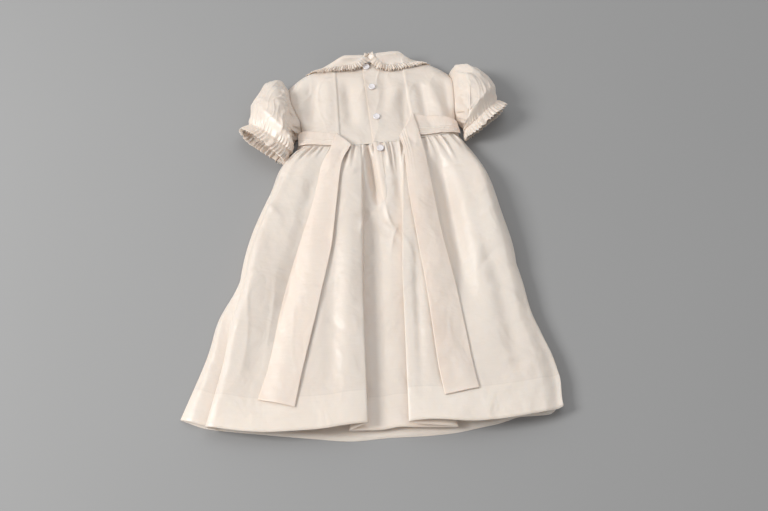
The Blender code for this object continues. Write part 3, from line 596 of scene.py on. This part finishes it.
def back_surface(side, across, up):
    """Height of one half of the back with its tuck, its soft folds and its lap at the centre."""
    lapped = 1.0 - smooth(OUTWARD[side] * across, *LAP_FADE)
    off_side = smooth(side_across(up, side) - OUTWARD[side] * across, 0.0, FOLDS_OFF_SIDE)
    off_top = smooth(back_top(across) - up, 0.0, FOLDS_OFF_TOP)
    wrinkle = lines_of_folds(*bodice_to_plan(across, up), BODICE_SOFT_FOLDS)
    wrinkle = wrinkle + crumples(across, up, BODICE_CRUMPLES)
    high = back_height(across, up) + tuck_height(across, up, side)
    return high + OUTWARD[side] * LAP_LIFT * LAYER * lapped + off_side * off_top * wrinkle


def bodice_back(side, u, v):
    """The back's left or right half. The right half lies over the left one at the centre."""
    inner = UNDER_EDGE if side == "left" else BUTTON_EDGE

    def across_of(up, u):
        return inner + (side_across(up, side) * OUTWARD[side] - inner) * u

    def height(across, up):
        return back_surface(side, across, up)

    return bodice_panel(across_of, back_top, height, u, v)


def bodice_front(u, v):
    """The whole front, from side to side."""

    def across_of(up, u):
        return side_across(up, "right") * u - side_across(up, "left") * (1.0 - u)

    return bodice_panel(across_of, front_top, front_height, u, v)


def armhole_ring(side, angle):
    """The sleeve's first ring, which follows the armhole's edges on the back and the front."""
    low, high = ARMHOLE_UP
    up = (low + high) / 2 + (high - low) / 2 * np.cos(angle)
    edge = side_across(up, side)
    over = back_height(OUTWARD[side] * edge, up)
    x, y = bodice_to_plan(OUTWARD[side] * (edge + ARMHOLE_GAP), up)
    z = FLOOR_LAYER + (over - FLOOR_LAYER) * smooth(np.sin(angle), -0.25, 0.25)
    return np.stack([x, y, z], axis=-1)


def sleeve_swell(side, p, angle, frill, rim, casing):
    """How far a ring swells past its ellipse, as a factor: uneven gathers that fade from the head into
    the puff and come back at the elastic, which pinches it, and crumples on the puff."""
    seed = SLEEVE_SEEDS[side]
    turned = angle + GATHER_TURN[side] * p
    bent = turned + 0.10 * np.sin(3 * turned + seed) + 0.05 * np.sin(7 * turned)
    bent = bent + 0.04 * ripples(np.cos(angle) * 60, p * 90 + np.sin(angle) * 60, 50, seed)
    head = between(p, 0.0, 0.04, 0.06, 0.26 + 0.08 * np.sin(5 * angle))
    puff = between(p, 0.01, 0.10, 0.25, 0.7 + 0.1 * np.sin(4 * angle))
    wave = HEAD_DEPTH * head * np.cos(HEAD_WAVES * bent)
    wave = wave + PUFF_DEPTH * puff * np.cos(PUFF_WAVES * bent + 1.0)
    uneven = 0.75 + 0.3 * np.sin(9 * angle + 2.0)
    cuff = CUFF_WAVES * frill
    wave = wave + uneven * (CASING_DEPTH * casing * np.cos(cuff) + RIM_DEPTH * rim * np.sin(cuff))
    dent = crumples(angle * SLEEVE_ROUND + 40, p * SLEEVE_LONG, SLEEVE_CRUMPLES, seed)
    on_puff = between(p, 0.05, 0.2, 0.6, 0.8)
    return 1.0 + wave - ELASTIC_PINCH * bell(p - ELASTIC_AT, 0.03) + dent * on_puff


def sleeve(side, p, angle):
    """Point of a sleeve: p from the armhole to the rim, and an angle round the ring, 0 at the shoulder
    end and a quarter turn on at the top. A ring is an ellipse on end, swollen by its gathers and cut
    off by the floor. Its top leans out over the opening, and its edge goes in and out with the frill."""
    table = columns(SLEEVES[side], RING_COLUMNS)
    ring = {name: through(table["share"], table[name], p) for name in RING_COLUMNS[2:]}
    frill = angle + 0.06 * np.sin(5 * angle) + 0.03 * np.sin(11 * angle + 1.0) + 0.012 * np.sin(23 * angle)
    rim = smooth(p, 0.86, 0.96)
    casing = between(p, 0.70 + 0.04 * np.sin(7 * angle), 0.81, 0.86, 0.92)
    swell = sleeve_swell(side, p, angle, frill, rim, casing)
    along, rise = np.cos(angle) * swell, np.sin(angle) * swell
    half_x, half_y = (ring["head_x"] - ring["under_x"]) / 2, (ring["head_y"] - ring["under_y"]) / 2
    out = ring["lean"] * smooth(rise, 0.0, 1.0) + RIM_SWAY * rim * np.sin(CUFF_WAVES * frill + 1.2)
    out = OUTWARD[side] * out / np.hypot(half_x, half_y)
    x = (ring["head_x"] + ring["under_x"]) / 2 + half_x * along + half_y * out
    y = (ring["head_y"] + ring["under_y"]) / 2 + half_y * along - half_x * out
    middle = RING_MIDDLE[0] + (RING_MIDDLE[1] - RING_MIDDLE[0]) * smooth(p, 0.0, 0.35)
    z = np.maximum(ring["top"] * (middle + (1.0 - middle) * rise), FLOOR_LAYER)
    on_floor = (1.0 - smooth(z, 1.0, 9.0)) * (rim + 0.6 * casing)
    z = z + RIM_LIFT * on_floor * (0.5 + 0.5 * np.sin(CUFF_WAVES * frill + 0.6 * np.sin(3 * angle)))
    free = smooth(p, 0.0, 0.07)[..., None]
    return armhole_ring(side, angle) * (1.0 - free) + np.stack([x, y, z], axis=-1) * free


def collar_line(side, a):
    """The collar's neck seam in the bodice's frame, and the way its cloth runs from there, in radians
    below the line across: at the back the neckline, and at the front a quarter of an ellipse."""
    start = COLLAR_START[side]
    back, front = np.clip(a, 0.0, 1.0), np.clip(a - 1.0, 0.0, 1.0)
    swept = np.radians(front * FRONT_SWEEP)
    across = np.where(a <= 1.0, start + (NECK_POINT[0] - start) * back, NECK_POINT[0] * np.cos(swept))
    up = np.where(a <= 1.0, back_top(across), NECK_POINT[1] - FRONT_NECK_DROP * np.sin(swept))
    steep, flat = COLLAR_WAYS
    turn = np.where(a <= 1.0, steep - (steep - flat) * back**1.7, flat + (steep - flat) * front)
    return across, up, np.radians(turn)


def collar_depth(side, a):
    """Depth from the neck seam, with rounded corners at both ends."""
    depths = (COLLAR_BACK_DEPTH[side], COLLAR_SHOULDER_DEPTH[side], COLLAR_FRONT_DEPTH)
    depth = through(DEPTHS_AT, depths, np.clip(a, DEPTHS_AT[0], DEPTHS_AT[-1]))
    start = COLLAR_TOP + (depth - COLLAR_TOP) * round_rise(a / COLLAR_CORNER)
    return np.where(a < 1.0, start, depth * (0.25 + 0.75 * round_rise((2.0 - a) / 0.3)))


def collar_edge(a):
    """Height of the collar's outer edge above where it would lie: lifted at its centre corner, and
    easing down to the shoulder."""
    corner = CORNER_LIFT * np.maximum(0.0, 1.0 - a / COLLAR_CORNER) ** 2
    return corner + COLLAR_EDGE * (1.0 - smooth(a, 0.9, 1.0))


def collar_point(side, a, w, lift):
    """Point of a collar half at w from the neck seam, lift above where it would lie. Just past the
    shoulder it turns round it, and from there it lies on the floor."""
    past_turn = 1.0 + SHOULDER_TURN
    across, up, turn = collar_line(side, np.where((a > 1.0) & (a < past_turn), 1.0, a))
    depth = collar_depth(side, a)
    inside, past = np.minimum(w, depth), np.maximum(w - depth, 0.0)
    corner = turn + CORNER_TURN * (1.0 - np.clip(a / COLLAR_CORNER, 0.0, 1.0)) ** 2
    across = across + inside * np.cos(turn) + past * np.cos(corner)
    up = up - inside * np.sin(turn) - past * np.sin(corner)
    up = up + (shoulder_up(across) + COLLAR_WRAP - up) * between(a, 0.92, 1.0, past_turn, 1.16)
    over = back_surface(side, OUTWARD[side] * across, up) + COLLAR_REST
    if side == "left":
        over = over + LAP_LIFT * LAYER
    turned = np.clip((a - 1.0) / SHOULDER_TURN, 0.0, 1.0)
    x, y = bodice_to_plan(OUTWARD[side] * across, up + LAYER * np.sin(np.pi * turned))
    high = (over + lift) * (1.0 - turned) + FLOOR_LAYER * turned
    return np.stack([x, y, high], axis=-1)


def collar(side, a, b):
    """Rolls up from the neck seam and falls back over it, then lies on the bodice. b runs from the
    neck seam to the outer edge, the first part of it over the roll."""
    roll = np.array(COLLAR_ROLL)
    last = len(roll) - 1
    depth = collar_depth(side, a)
    flat = smooth(a, COLLAR_FLAT[side], 1.0)
    rolled = (1.0 - flat) * (0.8 + 0.2 * round_rise(a / 0.16))
    part = np.clip(b / ROLL_SHARE, 0.0, 1.0) * last
    at = np.arange(len(roll))
    rolled_w = through(at, roll[:, 0], part) * rolled + FLAT_ROLL * part / last * flat
    rolled_lift = through(at, roll[:, 1], part) * rolled
    end_w, end_lift = FLAT_ROLL * flat + roll[-1, 0] * rolled, roll[-1, 1] * rolled
    share = np.clip((b - ROLL_SHARE) / (1.0 - ROLL_SHARE), 0.0, 1.0)
    lying_w = end_w + (np.maximum(depth, end_w + 1.0) - end_w) * share
    lying_lift = collar_edge(a) + (end_lift - collar_edge(a)) * (1.0 - share) ** 1.5
    w = np.where(b <= ROLL_SHARE, rolled_w, lying_w)
    return collar_point(side, a, w, np.where(b <= ROLL_SHARE, rolled_lift, lying_lift))


def collar_frill(side, a, b):
    """A narrow gathered strip that falls from the collar's edge, with uneven waves that grow outward."""
    bent = a + 0.006 * np.sin(2 * np.pi * 9 * a) + 0.003 * np.sin(2 * np.pi * 23 * a + 1.0)
    turn = 2.0 * np.pi * COLLAR_WAVES * bent
    height = FRILL_WAVE + 0.6 * np.sin(2 * np.pi * 5.3 * a)
    wave = height * b**0.6 * (1.0 + np.sin(turn + 0.8 * np.sin(turn)))
    uneven = 0.05 * (1.0 - smooth(a, 0.0, 0.12)) + 0.14 * np.cos(turn) * b
    uneven = uneven + 0.08 * np.sin(2 * np.pi * 6.7 * a)
    w = collar_depth(side, a) + 0.1 + COLLAR_FRILL * (1.0 + uneven) * b
    return collar_point(side, a, w, wave + collar_edge(a) * (1.0 - 0.8 * b))


def with_neighbours(heights):
    """The grid of heights itself, and the same grid moved by one cell each way."""
    wide = np.pad(heights, 1, mode="edge")
    return np.array([wide[1:-1, 1:-1], wide[:-2, 1:-1], wide[2:, 1:-1], wide[1:-1, :-2], wide[1:-1, 2:]])


def height_map(sheets, reach):
    """Highest point of the given sheets in each cell of a plan grid, spread by reach and softened. It
    gives a function of x and y that reads the grid, with an even slope between the cells' middles."""
    points = np.concatenate([sheet.reshape(-1, 3) for sheet in sheets])
    last = np.array(MAP_COUNT) - 1
    i = np.clip(((points[:, :2] - MAP_CORNER) / MAP_CELL).astype(int), 0, last)
    tops = np.zeros(MAP_COUNT)
    np.maximum.at(tops, (i[:, 0], i[:, 1]), points[:, 2])
    steps = max(1, round(reach / MAP_CELL))
    for _ in range(steps):
        tops = with_neighbours(tops).max(axis=0)
    for _ in range(steps):
        tops = (with_neighbours(tops).sum(axis=0) + tops) / 6

    def at(x, y):
        px, py = (x - MAP_CORNER[0]) / MAP_CELL - 0.5, (y - MAP_CORNER[1]) / MAP_CELL - 0.5
        ix, iy = np.clip(px.astype(int), 0, last[0] - 1), np.clip(py.astype(int), 0, last[1] - 1)
        fx, fy = px - ix, py - iy
        low = tops[ix, iy] * (1 - fx) + tops[ix + 1, iy] * fx
        high = tops[ix, iy + 1] * (1 - fx) + tops[ix + 1, iy + 1] * fx
        return low * (1 - fy) + high * fy

    return at


def sash_plan(side, w, rows):
    """Plan of a sash end: its band from the side seam to the diagonal fold, and its tail from the fold
    down to the slanting cut, each a grid of points with w across the ribbon."""
    seam, fold = np.array(SASH_SEAM[side], float), np.array(SASH_FOLD[side], float)
    start, turn = seam[0] + (seam[1] - seam[0]) * w, fold[0] + (fold[1] - fold[0]) * w
    share = np.linspace(0.0, 1.0, rows)[:, None, None]
    band = start + (turn - start) * share
    hang = columns(SASHES[side], SASH_COLUMNS)
    at = np.arange(len(hang["y"]))
    place = share[..., 0] * at[-1]
    level, outer, inner = (through(at, hang[name], place)[..., None] for name in SASH_COLUMNS)
    level = level - SASH_CUT[side] * (w - 0.5) * share**2
    tail = np.concatenate([outer + (inner - outer) * w, level], axis=2)
    eased = turn + (tail[0] - turn) * np.linspace(0.0, FOLD_SHARE, FOLD_ROWS)[:, None, None]
    return band, np.concatenate([eased, tail])


def sash(side, under, rows, across_count):
    """A ribbon from the side seam to its diagonal fold, then down over the skirt: rows along the
    ribbon, columns across it from its upper edge. It lies on the highest points under it."""
    w = np.linspace(0.0, 1.0, across_count)
    band, tail = sash_plan(side, w[:, None], rows)
    down = np.linspace(0.0, 1.0, len(tail))[:, None]
    pleats = sum(between(w, edge - 0.1, edge - 0.01, edge - 0.01, edge + 0.015) for edge in SASH_PLEATS)
    x, y = band[..., 0], band[..., 1]
    low = height_map(under, SASH_REACH)(x, y) + SASH_REST + pleats * BAND_LINES
    low = low + crumples(x, y, BAND_CRUMPLES)
    band = np.concatenate([band, low[..., None]], axis=-1)
    x, y = tail[..., 0], tail[..., 1]
    lines = (1.0 - smooth(down, 0.02, 0.4)) * pleats * SASH_LINES[side] + 0.8 * np.sin(np.pi * w)
    tilt = SASH_TILT[side] * w * between(down, 0.05, 0.2, 0.85, 1.0)
    high = height_map(list(under) + [band], SASH_REACH)(x, y) + SASH_REST + lines
    high = high + crumples(x, y, TAIL_CRUMPLES) + tilt
    high[0] = np.maximum(high[0], low[-1] + FOLD_RISE)
    tail = np.concatenate([tail, high[..., None]], axis=-1)
    bend = (band[-1] + tail[0]) / 2
    bend[:, 0] -= FOLD_BEND * OUTWARD[side]
    return np.concatenate([band, bend[None], tail])


def placket(under, rows, across_count):
    """The overlapping edge of the skirt's opening, a narrow strip down from the waist."""
    line = np.array(PLACKET_LINE, float)
    share = np.linspace(0.0, len(line) - 1.0, rows)
    here = np.stack([through(np.arange(len(line)), line[:, i], share) for i in (0, 1)], axis=-1)
    way = np.gradient(here, axis=0)
    way /= np.linalg.norm(way, axis=-1, keepdims=True)
    across = np.linspace(0.0, 1.0, across_count)
    side = np.stack([-way[:, 1], way[:, 0]], axis=-1)
    plan = here[:, None, :] + side[:, None, :] * across[None, :, None] * PLACKET_WIDTH
    down = np.linspace(0.0, 1.0, rows)[:, None]
    sunk = PLACKET_SINK[0] * smooth(across, 0.3, 1.0) + PLACKET_SINK[1] * smooth(down, 0.8, 1.0)
    z = height_map(under, PLACKET_REACH)(plan[..., 0], plan[..., 1]) + PLACKET_REST - sunk
    return np.concatenate([plan, z[..., None]], axis=-1)


def grid(rows, across_count):
    """Two parameters from 0 to 1: the first along the columns, the second down the rows."""
    return np.meshgrid(np.linspace(0.0, 1.0, across_count), np.linspace(0.0, 1.0, rows))


def to_model(points):
    """Points of the drafting frame, in the model's frame and in metres."""
    return (points + np.array([*ORIGIN, 0.0])) * MM


def sheet_mesh(name, points, closed=False):
    """A mesh of quads through a grid of points, with a UV map in metres: across, and up from the last
    row. A closed one runs on from its last column to its first."""
    rows, count = points.shape[:2]
    index = np.arange(rows * count).reshape(rows, count)
    run = np.linalg.norm(np.diff(points, axis=1), axis=-1).mean(axis=0)
    fall = np.linalg.norm(np.diff(points, axis=0), axis=-1).mean(axis=1)
    u, v = np.append(0.0, np.cumsum(run)), np.append(np.cumsum(fall[::-1])[::-1], 0.0)
    if closed:
        index = np.concatenate([index, index[:, :1]], axis=1)
        u = np.append(u, u[-1] + run.mean())
    quads = np.stack([index[:-1, :-1], index[1:, :-1], index[1:, 1:], index[:-1, 1:]], axis=-1)
    quads = quads.reshape(-1, 4)
    row, col = np.mgrid[0:rows - 1, 0:index.shape[1] - 1]
    corner_u = np.stack([u[col], u[col], u[col + 1], u[col + 1]], axis=-1)
    corner_v = np.stack([v[row], v[row + 1], v[row + 1], v[row]], axis=-1)
    mesh = bpy.data.meshes.new(name)
    mesh.vertices.add(rows * count)
    mesh.vertices.foreach_set("co", to_model(points).astype(np.float32).ravel())
    mesh.loops.add(quads.size)
    mesh.loops.foreach_set("vertex_index", quads.astype(np.int32).ravel())
    mesh.polygons.add(len(quads))
    mesh.polygons.foreach_set("loop_start", np.arange(0, quads.size, 4, dtype=np.int32))
    mesh.update(calc_edges=True)
    mesh.uv_layers.new(name="cloth")
    uv = np.stack([corner_u, corner_v], axis=-1) * MM
    mesh.uv_layers["cloth"].uv.foreach_set("vector", uv.astype(np.float32).ravel())
    mesh.shade_smooth()
    mesh.validate()
    return mesh


def add_piece(name, node, mesh, material):
    """An object for the mesh that rides on the gown and stands for a node of the CAD model."""
    piece = bpy.data.objects.new(name, mesh)
    bpy.context.scene.collection.objects.link(piece)
    mesh.materials.append(material)
    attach(piece, "root")
    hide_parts(node)
    return piece


def cloth(node, points, material, closed=False, thickness=CLOTH, face_up=True):
    """A thin shell of silk on a grid of points, with the cloth's thickness, in place of a node. Columns
    that run the other way are turned round, so that it faces up."""
    if not face_up:
        points = points[:, ::-1]
    name = f"{node}_silk"
    piece = add_piece(name, node, sheet_mesh(name, points, closed), material)
    thick = piece.modifiers.new("cloth thickness", "SOLIDIFY")
    thick.thickness = thickness * MM
    thick.offset = 0.0
    return piece


def turned_mesh(name, profile, sides, centre):
    """The profile, as radius and height, carried round an upright axis."""
    profile = np.array(profile)
    angle = np.linspace(0.0, 2.0 * np.pi, sides, endpoint=False)
    ring = profile[1:-1]
    around = np.stack([ring[:, None, 0] * np.cos(angle), ring[:, None, 0] * np.sin(angle),
                       np.repeat(ring[:, None, 1], sides, axis=1)], axis=-1)
    ends = np.array([[0.0, 0.0, profile[0, 1]], [0.0, 0.0, profile[-1, 1]]])
    points = np.concatenate([around.reshape(-1, 3), ends]) + np.array(centre)
    index = np.arange(len(ring) * sides).reshape(len(ring), sides)
    after = np.roll(index, -1, axis=1)
    quads = np.stack([index[:-1], after[:-1], after[1:], index[1:]], axis=-1).reshape(-1, 4)
    low, high = len(points) - 2, len(points) - 1
    bottom = np.stack([np.full(sides, low), after[0], index[0]], axis=-1)
    top = np.stack([np.full(sides, high), index[-1], after[-1]], axis=-1)
    mesh = bpy.data.meshes.new(name)
    mesh.from_pydata(to_model(points).tolist(), [], quads.tolist() + bottom.tolist() + top.tolist())
    mesh.shade_smooth()
    return mesh


def linear(code):
    """A colour given as an sRGB hex code, turned to linear values."""
    part = np.array([int(code[i:i + 2], 16) / 255.0 for i in (1, 3, 5)])
    return (*np.where(part <= 0.04045, part / 12.92, ((part + 0.055) / 1.055) ** 2.4), 1.0)


def node(tree, kind, links=(), **settings):
    """Adds a shader node. Settings name its properties or its inputs, and links pairs of its input
    and another node's output."""
    made = tree.nodes.new(kind)
    for name, value in settings.items():
        if hasattr(made, name):
            setattr(made, name, value)
        else:
            made.inputs[name.replace("_", " ")].default_value = value
    for name, source in links:
        tree.links.new(source, made.inputs[name])
    return made


def new_material(name):
    """A material with an empty node tree but for its shader and output."""
    material = bpy.data.materials.new(name)
    material.use_nodes = True
    return material, material.node_tree, material.node_tree.nodes["Principled BSDF"]


def set_shader(shader, **values):
    """Gives the shader's own sockets their values."""
    for name, value in values.items():
        shader.inputs[name.replace("_", " ")].default_value = value


def clouded(tree, place, colours, **noise):
    """A colour that drifts in soft clouds from the first of two colours to the second."""
    cloud = node(tree, "ShaderNodeTexNoise", [("Vector", place.outputs["Object"])], **noise)
    mix = node(tree, "ShaderNodeMix", [("Factor", cloud.outputs["Fac"])], data_type="RGBA",
               A=linear(colours[0]), B=linear(colours[1]))
    return mix.outputs["Result"]


def scaled(tree, colour, factor):
    """The colour times a factor."""
    made = node(tree, "ShaderNodeVectorMath", [(0, colour), ("Scale", factor)], operation="SCALE")
    return made.outputs["Vector"]


def dupioni(name, colours, hem=0.0):
    """Dupioni: silk woven with uneven weft threads. Its slubs show as faint streaks across the cloth,
    and its hard finish gives a soft broad sheen. The cloth is double up to hem from its lower edge."""
    material, tree, shader = new_material(name)
    uv = node(tree, "ShaderNodeUVMap", uv_map="cloth")
    place = node(tree, "ShaderNodeTexCoord")
    # Threads lie about 0.25 mm apart, too fine to show, so the streaks are drawn 1 to 2 mm wide
    streaks = node(tree, "ShaderNodeMapping", [("Vector", uv.outputs["UV"])], Scale=(28.0, 620.0, 1.0))
    slub = node(tree, "ShaderNodeTexNoise", [("Vector", streaks.outputs["Vector"])], Scale=1.0, Detail=3.0)
    warp_map = node(tree, "ShaderNodeMapping", [("Vector", uv.outputs["UV"])], Scale=(900.0, 60.0, 1.0))
    warp = node(tree, "ShaderNodeTexNoise", [("Vector", warp_map.outputs["Vector"])], Scale=1.0, Detail=1.0)
    lines = node(tree, "ShaderNodeMapRange", [("Value", slub.outputs["Fac"])], From_Min=0.3, From_Max=0.7,
                 To_Min=0.985, To_Max=1.01)
    colour = clouded(tree, place, colours, Scale=9.0, Detail=3.0)
    colour = scaled(tree, colour, lines.outputs["Result"])
    if hem:
        colour = hem_band(tree, uv, colour, hem)
    tree.links.new(colour, shader.inputs["Base Color"])
    rough = node(tree, "ShaderNodeMapRange", [("Value", slub.outputs["Fac"])], From_Min=0.3, From_Max=0.7,
                 To_Min=0.38, To_Max=0.46)
    tree.links.new(rough.outputs["Result"], shader.inputs["Roughness"])
    # Bumps: the weave's threads, crinkles about 13 mm apart, and waves of the hard cloth at 40 mm
    fine = node(tree, "ShaderNodeTexNoise", [("Vector", place.outputs["Object"])], Scale=75.0, Detail=3.0)
    broad = node(tree, "ShaderNodeTexNoise", [("Vector", place.outputs["Object"])], Scale=24.0, Detail=2.0,
                 Distortion=0.6)
    threads = node(tree, "ShaderNodeMath", [(0, slub.outputs["Fac"]), (1, warp.outputs["Fac"])],
                   operation="ADD")
    bump = None
    for height, strength, distance in ((threads.outputs["Value"], 0.15, 0.0002),
                                       (fine.outputs["Fac"], 0.35, 0.0012),
                                       (broad.outputs["Fac"], 0.5, 0.005)):
        under = [("Normal", bump.outputs["Normal"])] if bump else []
        bump = node(tree, "ShaderNodeBump", [("Height", height), *under], Strength=strength,
                    Distance=distance)
    tree.links.new(bump.outputs["Normal"], shader.inputs["Normal"])
    # The weft's smooth threads spread the gloss up and down the cloth
    tangent = node(tree, "ShaderNodeTangent", direction_type="UV_MAP", uv_map="cloth")
    tree.links.new(tangent.outputs["Tangent"], shader.inputs["Tangent"])
    set_shader(shader, Anisotropic=0.5, Anisotropic_Rotation=0.25, Sheen_Weight=0.1, Sheen_Roughness=0.4,
               Specular_IOR_Level=0.85)
    # Thin silk lets light through, warmer than it came
    set_shader(shader, Subsurface_Weight=0.6, Subsurface_Scale=0.0015, Subsurface_Radius=(1.0, 0.82, 0.66))
    return material


def hem_band(tree, uv, colour, depth):
    """The colour, lighter where the hem's turning doubles the cloth, with a fine line of stitches at
    its top."""
    up = node(tree, "ShaderNodeSeparateXYZ", [("Vector", uv.outputs["UV"])])
    inside = node(tree, "ShaderNodeMapRange", [("Value", up.outputs["Y"])], From_Min=depth - 0.001,
                  From_Max=depth + 0.001, To_Min=1.045, To_Max=1.0)
    off = node(tree, "ShaderNodeMath", [(0, up.outputs["Y"])], operation="SUBTRACT")
    off.inputs[1].default_value = depth
    off = node(tree, "ShaderNodeMath", [(0, off.outputs["Value"])], operation="ABSOLUTE")
    line = node(tree, "ShaderNodeMapRange", [("Value", off.outputs["Value"])], From_Min=0.0004,
                From_Max=0.0013, To_Min=0.95, To_Max=1.0)
    both = node(tree, "ShaderNodeMath", [(0, inside.outputs["Result"]), (1, line.outputs["Result"])],
                operation="MULTIPLY")
    return scaled(tree, colour, both.outputs["Value"])


def pearl_resin(name):
    """Cast pearl resin: a cloudy grey white with a hard gloss."""
    material, tree, shader = new_material(name)
    place = node(tree, "ShaderNodeTexCoord")
    colour = clouded(tree, place, PEARL, Scale=260.0, Detail=2.0, Distortion=1.5)
    tree.links.new(colour, shader.inputs["Base Color"])
    set_shader(shader, Roughness=0.22, Coat_Weight=0.5, Coat_Roughness=0.08)
    return material


def paper_floor():
    """A plain grey paper backdrop, flat and matt, on which the gown lies."""
    material, tree, shader = new_material("matt_grey_paper")
    place = node(tree, "ShaderNodeTexCoord")
    tree.links.new(clouded(tree, place, PAPER, Scale=1.5, Detail=2.0), shader.inputs["Base Color"])
    set_shader(shader, Roughness=0.9)
    mesh = bpy.data.meshes.new("floor")
    low, high = -FLOOR_HALF, FLOOR_HALF
    mesh.from_pydata([(low, low, 0), (high, low, 0), (high, high, 0), (low, high, 0)], [], [(0, 1, 2, 3)])
    mesh.materials.append(material)
    floor = bpy.data.objects.new("floor", mesh)
    bpy.context.scene.collection.objects.link(floor)


def light(name, place, size, power, colour):
    """A square area light at a place, turned to the gown's middle."""
    lamp = bpy.data.lights.new(name, "AREA")
    lamp.size, lamp.energy, lamp.color = size, power, colour
    made = bpy.data.objects.new(name, lamp)
    made.location = place
    made.rotation_euler = (-Vector(place)).to_track_quat("-Z", "Y").to_euler()
    bpy.context.scene.collection.objects.link(made)


def studio():
    """Floor, soft light from the upper left, and the camera at the photograph's angle."""
    paper_floor()
    light("window", place=(-2.05, -0.35, 1.68), size=0.9, power=52.0, colour=(1.0, 0.995, 0.985))
    light("fill", place=(0.4, 0.9, 2.3), size=1.6, power=9.0, colour=(0.98, 0.99, 1.0))
    world = bpy.data.worlds.new("soft_room")
    world.use_nodes = True
    set_shader(world.node_tree.nodes["Background"], Color=ROOM_LIGHT, Strength=ROOM_STRENGTH)
    bpy.context.scene.world = world
    bpy.context.scene.view_settings.view_transform = "Standard"
    rise = math.radians(VIEW_ELEVATION)
    aim = Vector(LOOK_AT) * MM
    back = Vector((0.0, -math.cos(rise), math.sin(rise)))
    camera = bpy.data.objects.new("camera", bpy.data.cameras.new("camera"))
    camera.data.lens = LENS
    camera.data.sensor_width = 36.0
    camera.data.clip_start, camera.data.clip_end = 0.05, 50.0
    camera.location = aim + back * VIEW_DISTANCE * MM
    camera.rotation_euler = (-back).to_track_quat("-Z", "Y").to_euler()
    bpy.context.scene.collection.objects.link(camera)
    bpy.context.scene.camera = camera


def build_gown():
    """Makes every piece of the gown."""
    silk = dupioni("ivory_dupioni_silk", SILK)
    hemmed = dupioni("ivory_dupioni_silk_hemmed", SILK, HEM_BAND * MM)
    pearl = pearl_resin("cast_pearl_resin")
    s, t = grid(rows=130, across_count=340)
    # A column of points follows each fold line, and the rows lie closer near the waist
    for share in columns(SKIRT_FOLDS, SKIRT_COLUMNS)["share"]:
        s[:, np.argmin(np.abs(s[0] - share))] = share
    back = skirt_back(s, t**1.25)
    piece = cloth("skirt_back", back, hemmed)
    s, t = grid(rows=60, across_count=120)
    piece = cloth("skirt_front", skirt_front(s, t), hemmed)
    under = [back]
    u, v = grid(rows=40, across_count=80)
    piece = cloth("bodice_front", bodice_front(u, v), silk)
    u, v = grid(rows=150, across_count=130)
    for side in ("left", "right"):
        half = bodice_back(side, u, v)
        under.append(half)
        piece = cloth(f"bodice_back_{side}", half, silk, face_up=side == "right")
    angle, p = grid(rows=110, across_count=289)
    for side in ("left", "right"):
        rings = sleeve(side, p[:, :-1], 2.0 * np.pi * angle[:, :-1])
        piece = cloth(f"sleeve_{side}", rings, silk, closed=True, face_up=side == "right")
    for side in ("left", "right"):
        b, a = grid(rows=160, across_count=26)
        piece = cloth(f"collar_{side}", collar(side, 2.0 * a, b), silk, face_up=side == "left")
        b, a = grid(rows=760, across_count=9)
        frill = collar_frill(side, 2.0 * a, b)
        piece = cloth(f"collar_frill_{side}", frill, silk, face_up=side == "left", thickness=FRILL_CLOTH)
    strip = placket(under, rows=60, across_count=12)
    under.append(strip)
    piece = cloth("skirt_placket", strip, silk)
    for side in ("left", "right"):
        ribbon = sash(side, under, rows=150, across_count=36)
        piece = cloth(f"sash_{side}", ribbon, silk, face_up=side == "left", thickness=SASH_CLOTH)
    rest = height_map(under, BUTTON_REACH)
    for number, place in enumerate(BUTTONS, 1):
        x, y = bodice_to_plan(*place)
        z = float(rest(np.array([x]), np.array([y]))[0]) + BUTTON_REST
        mesh = turned_mesh(f"button_{number}_pearl", BUTTON_PROFILE, BUTTON_SIDES, (x, y, z))
        add_piece(f"button_{number}_pearl", f"button_{number}", mesh, pearl)


build_gown()
studio()
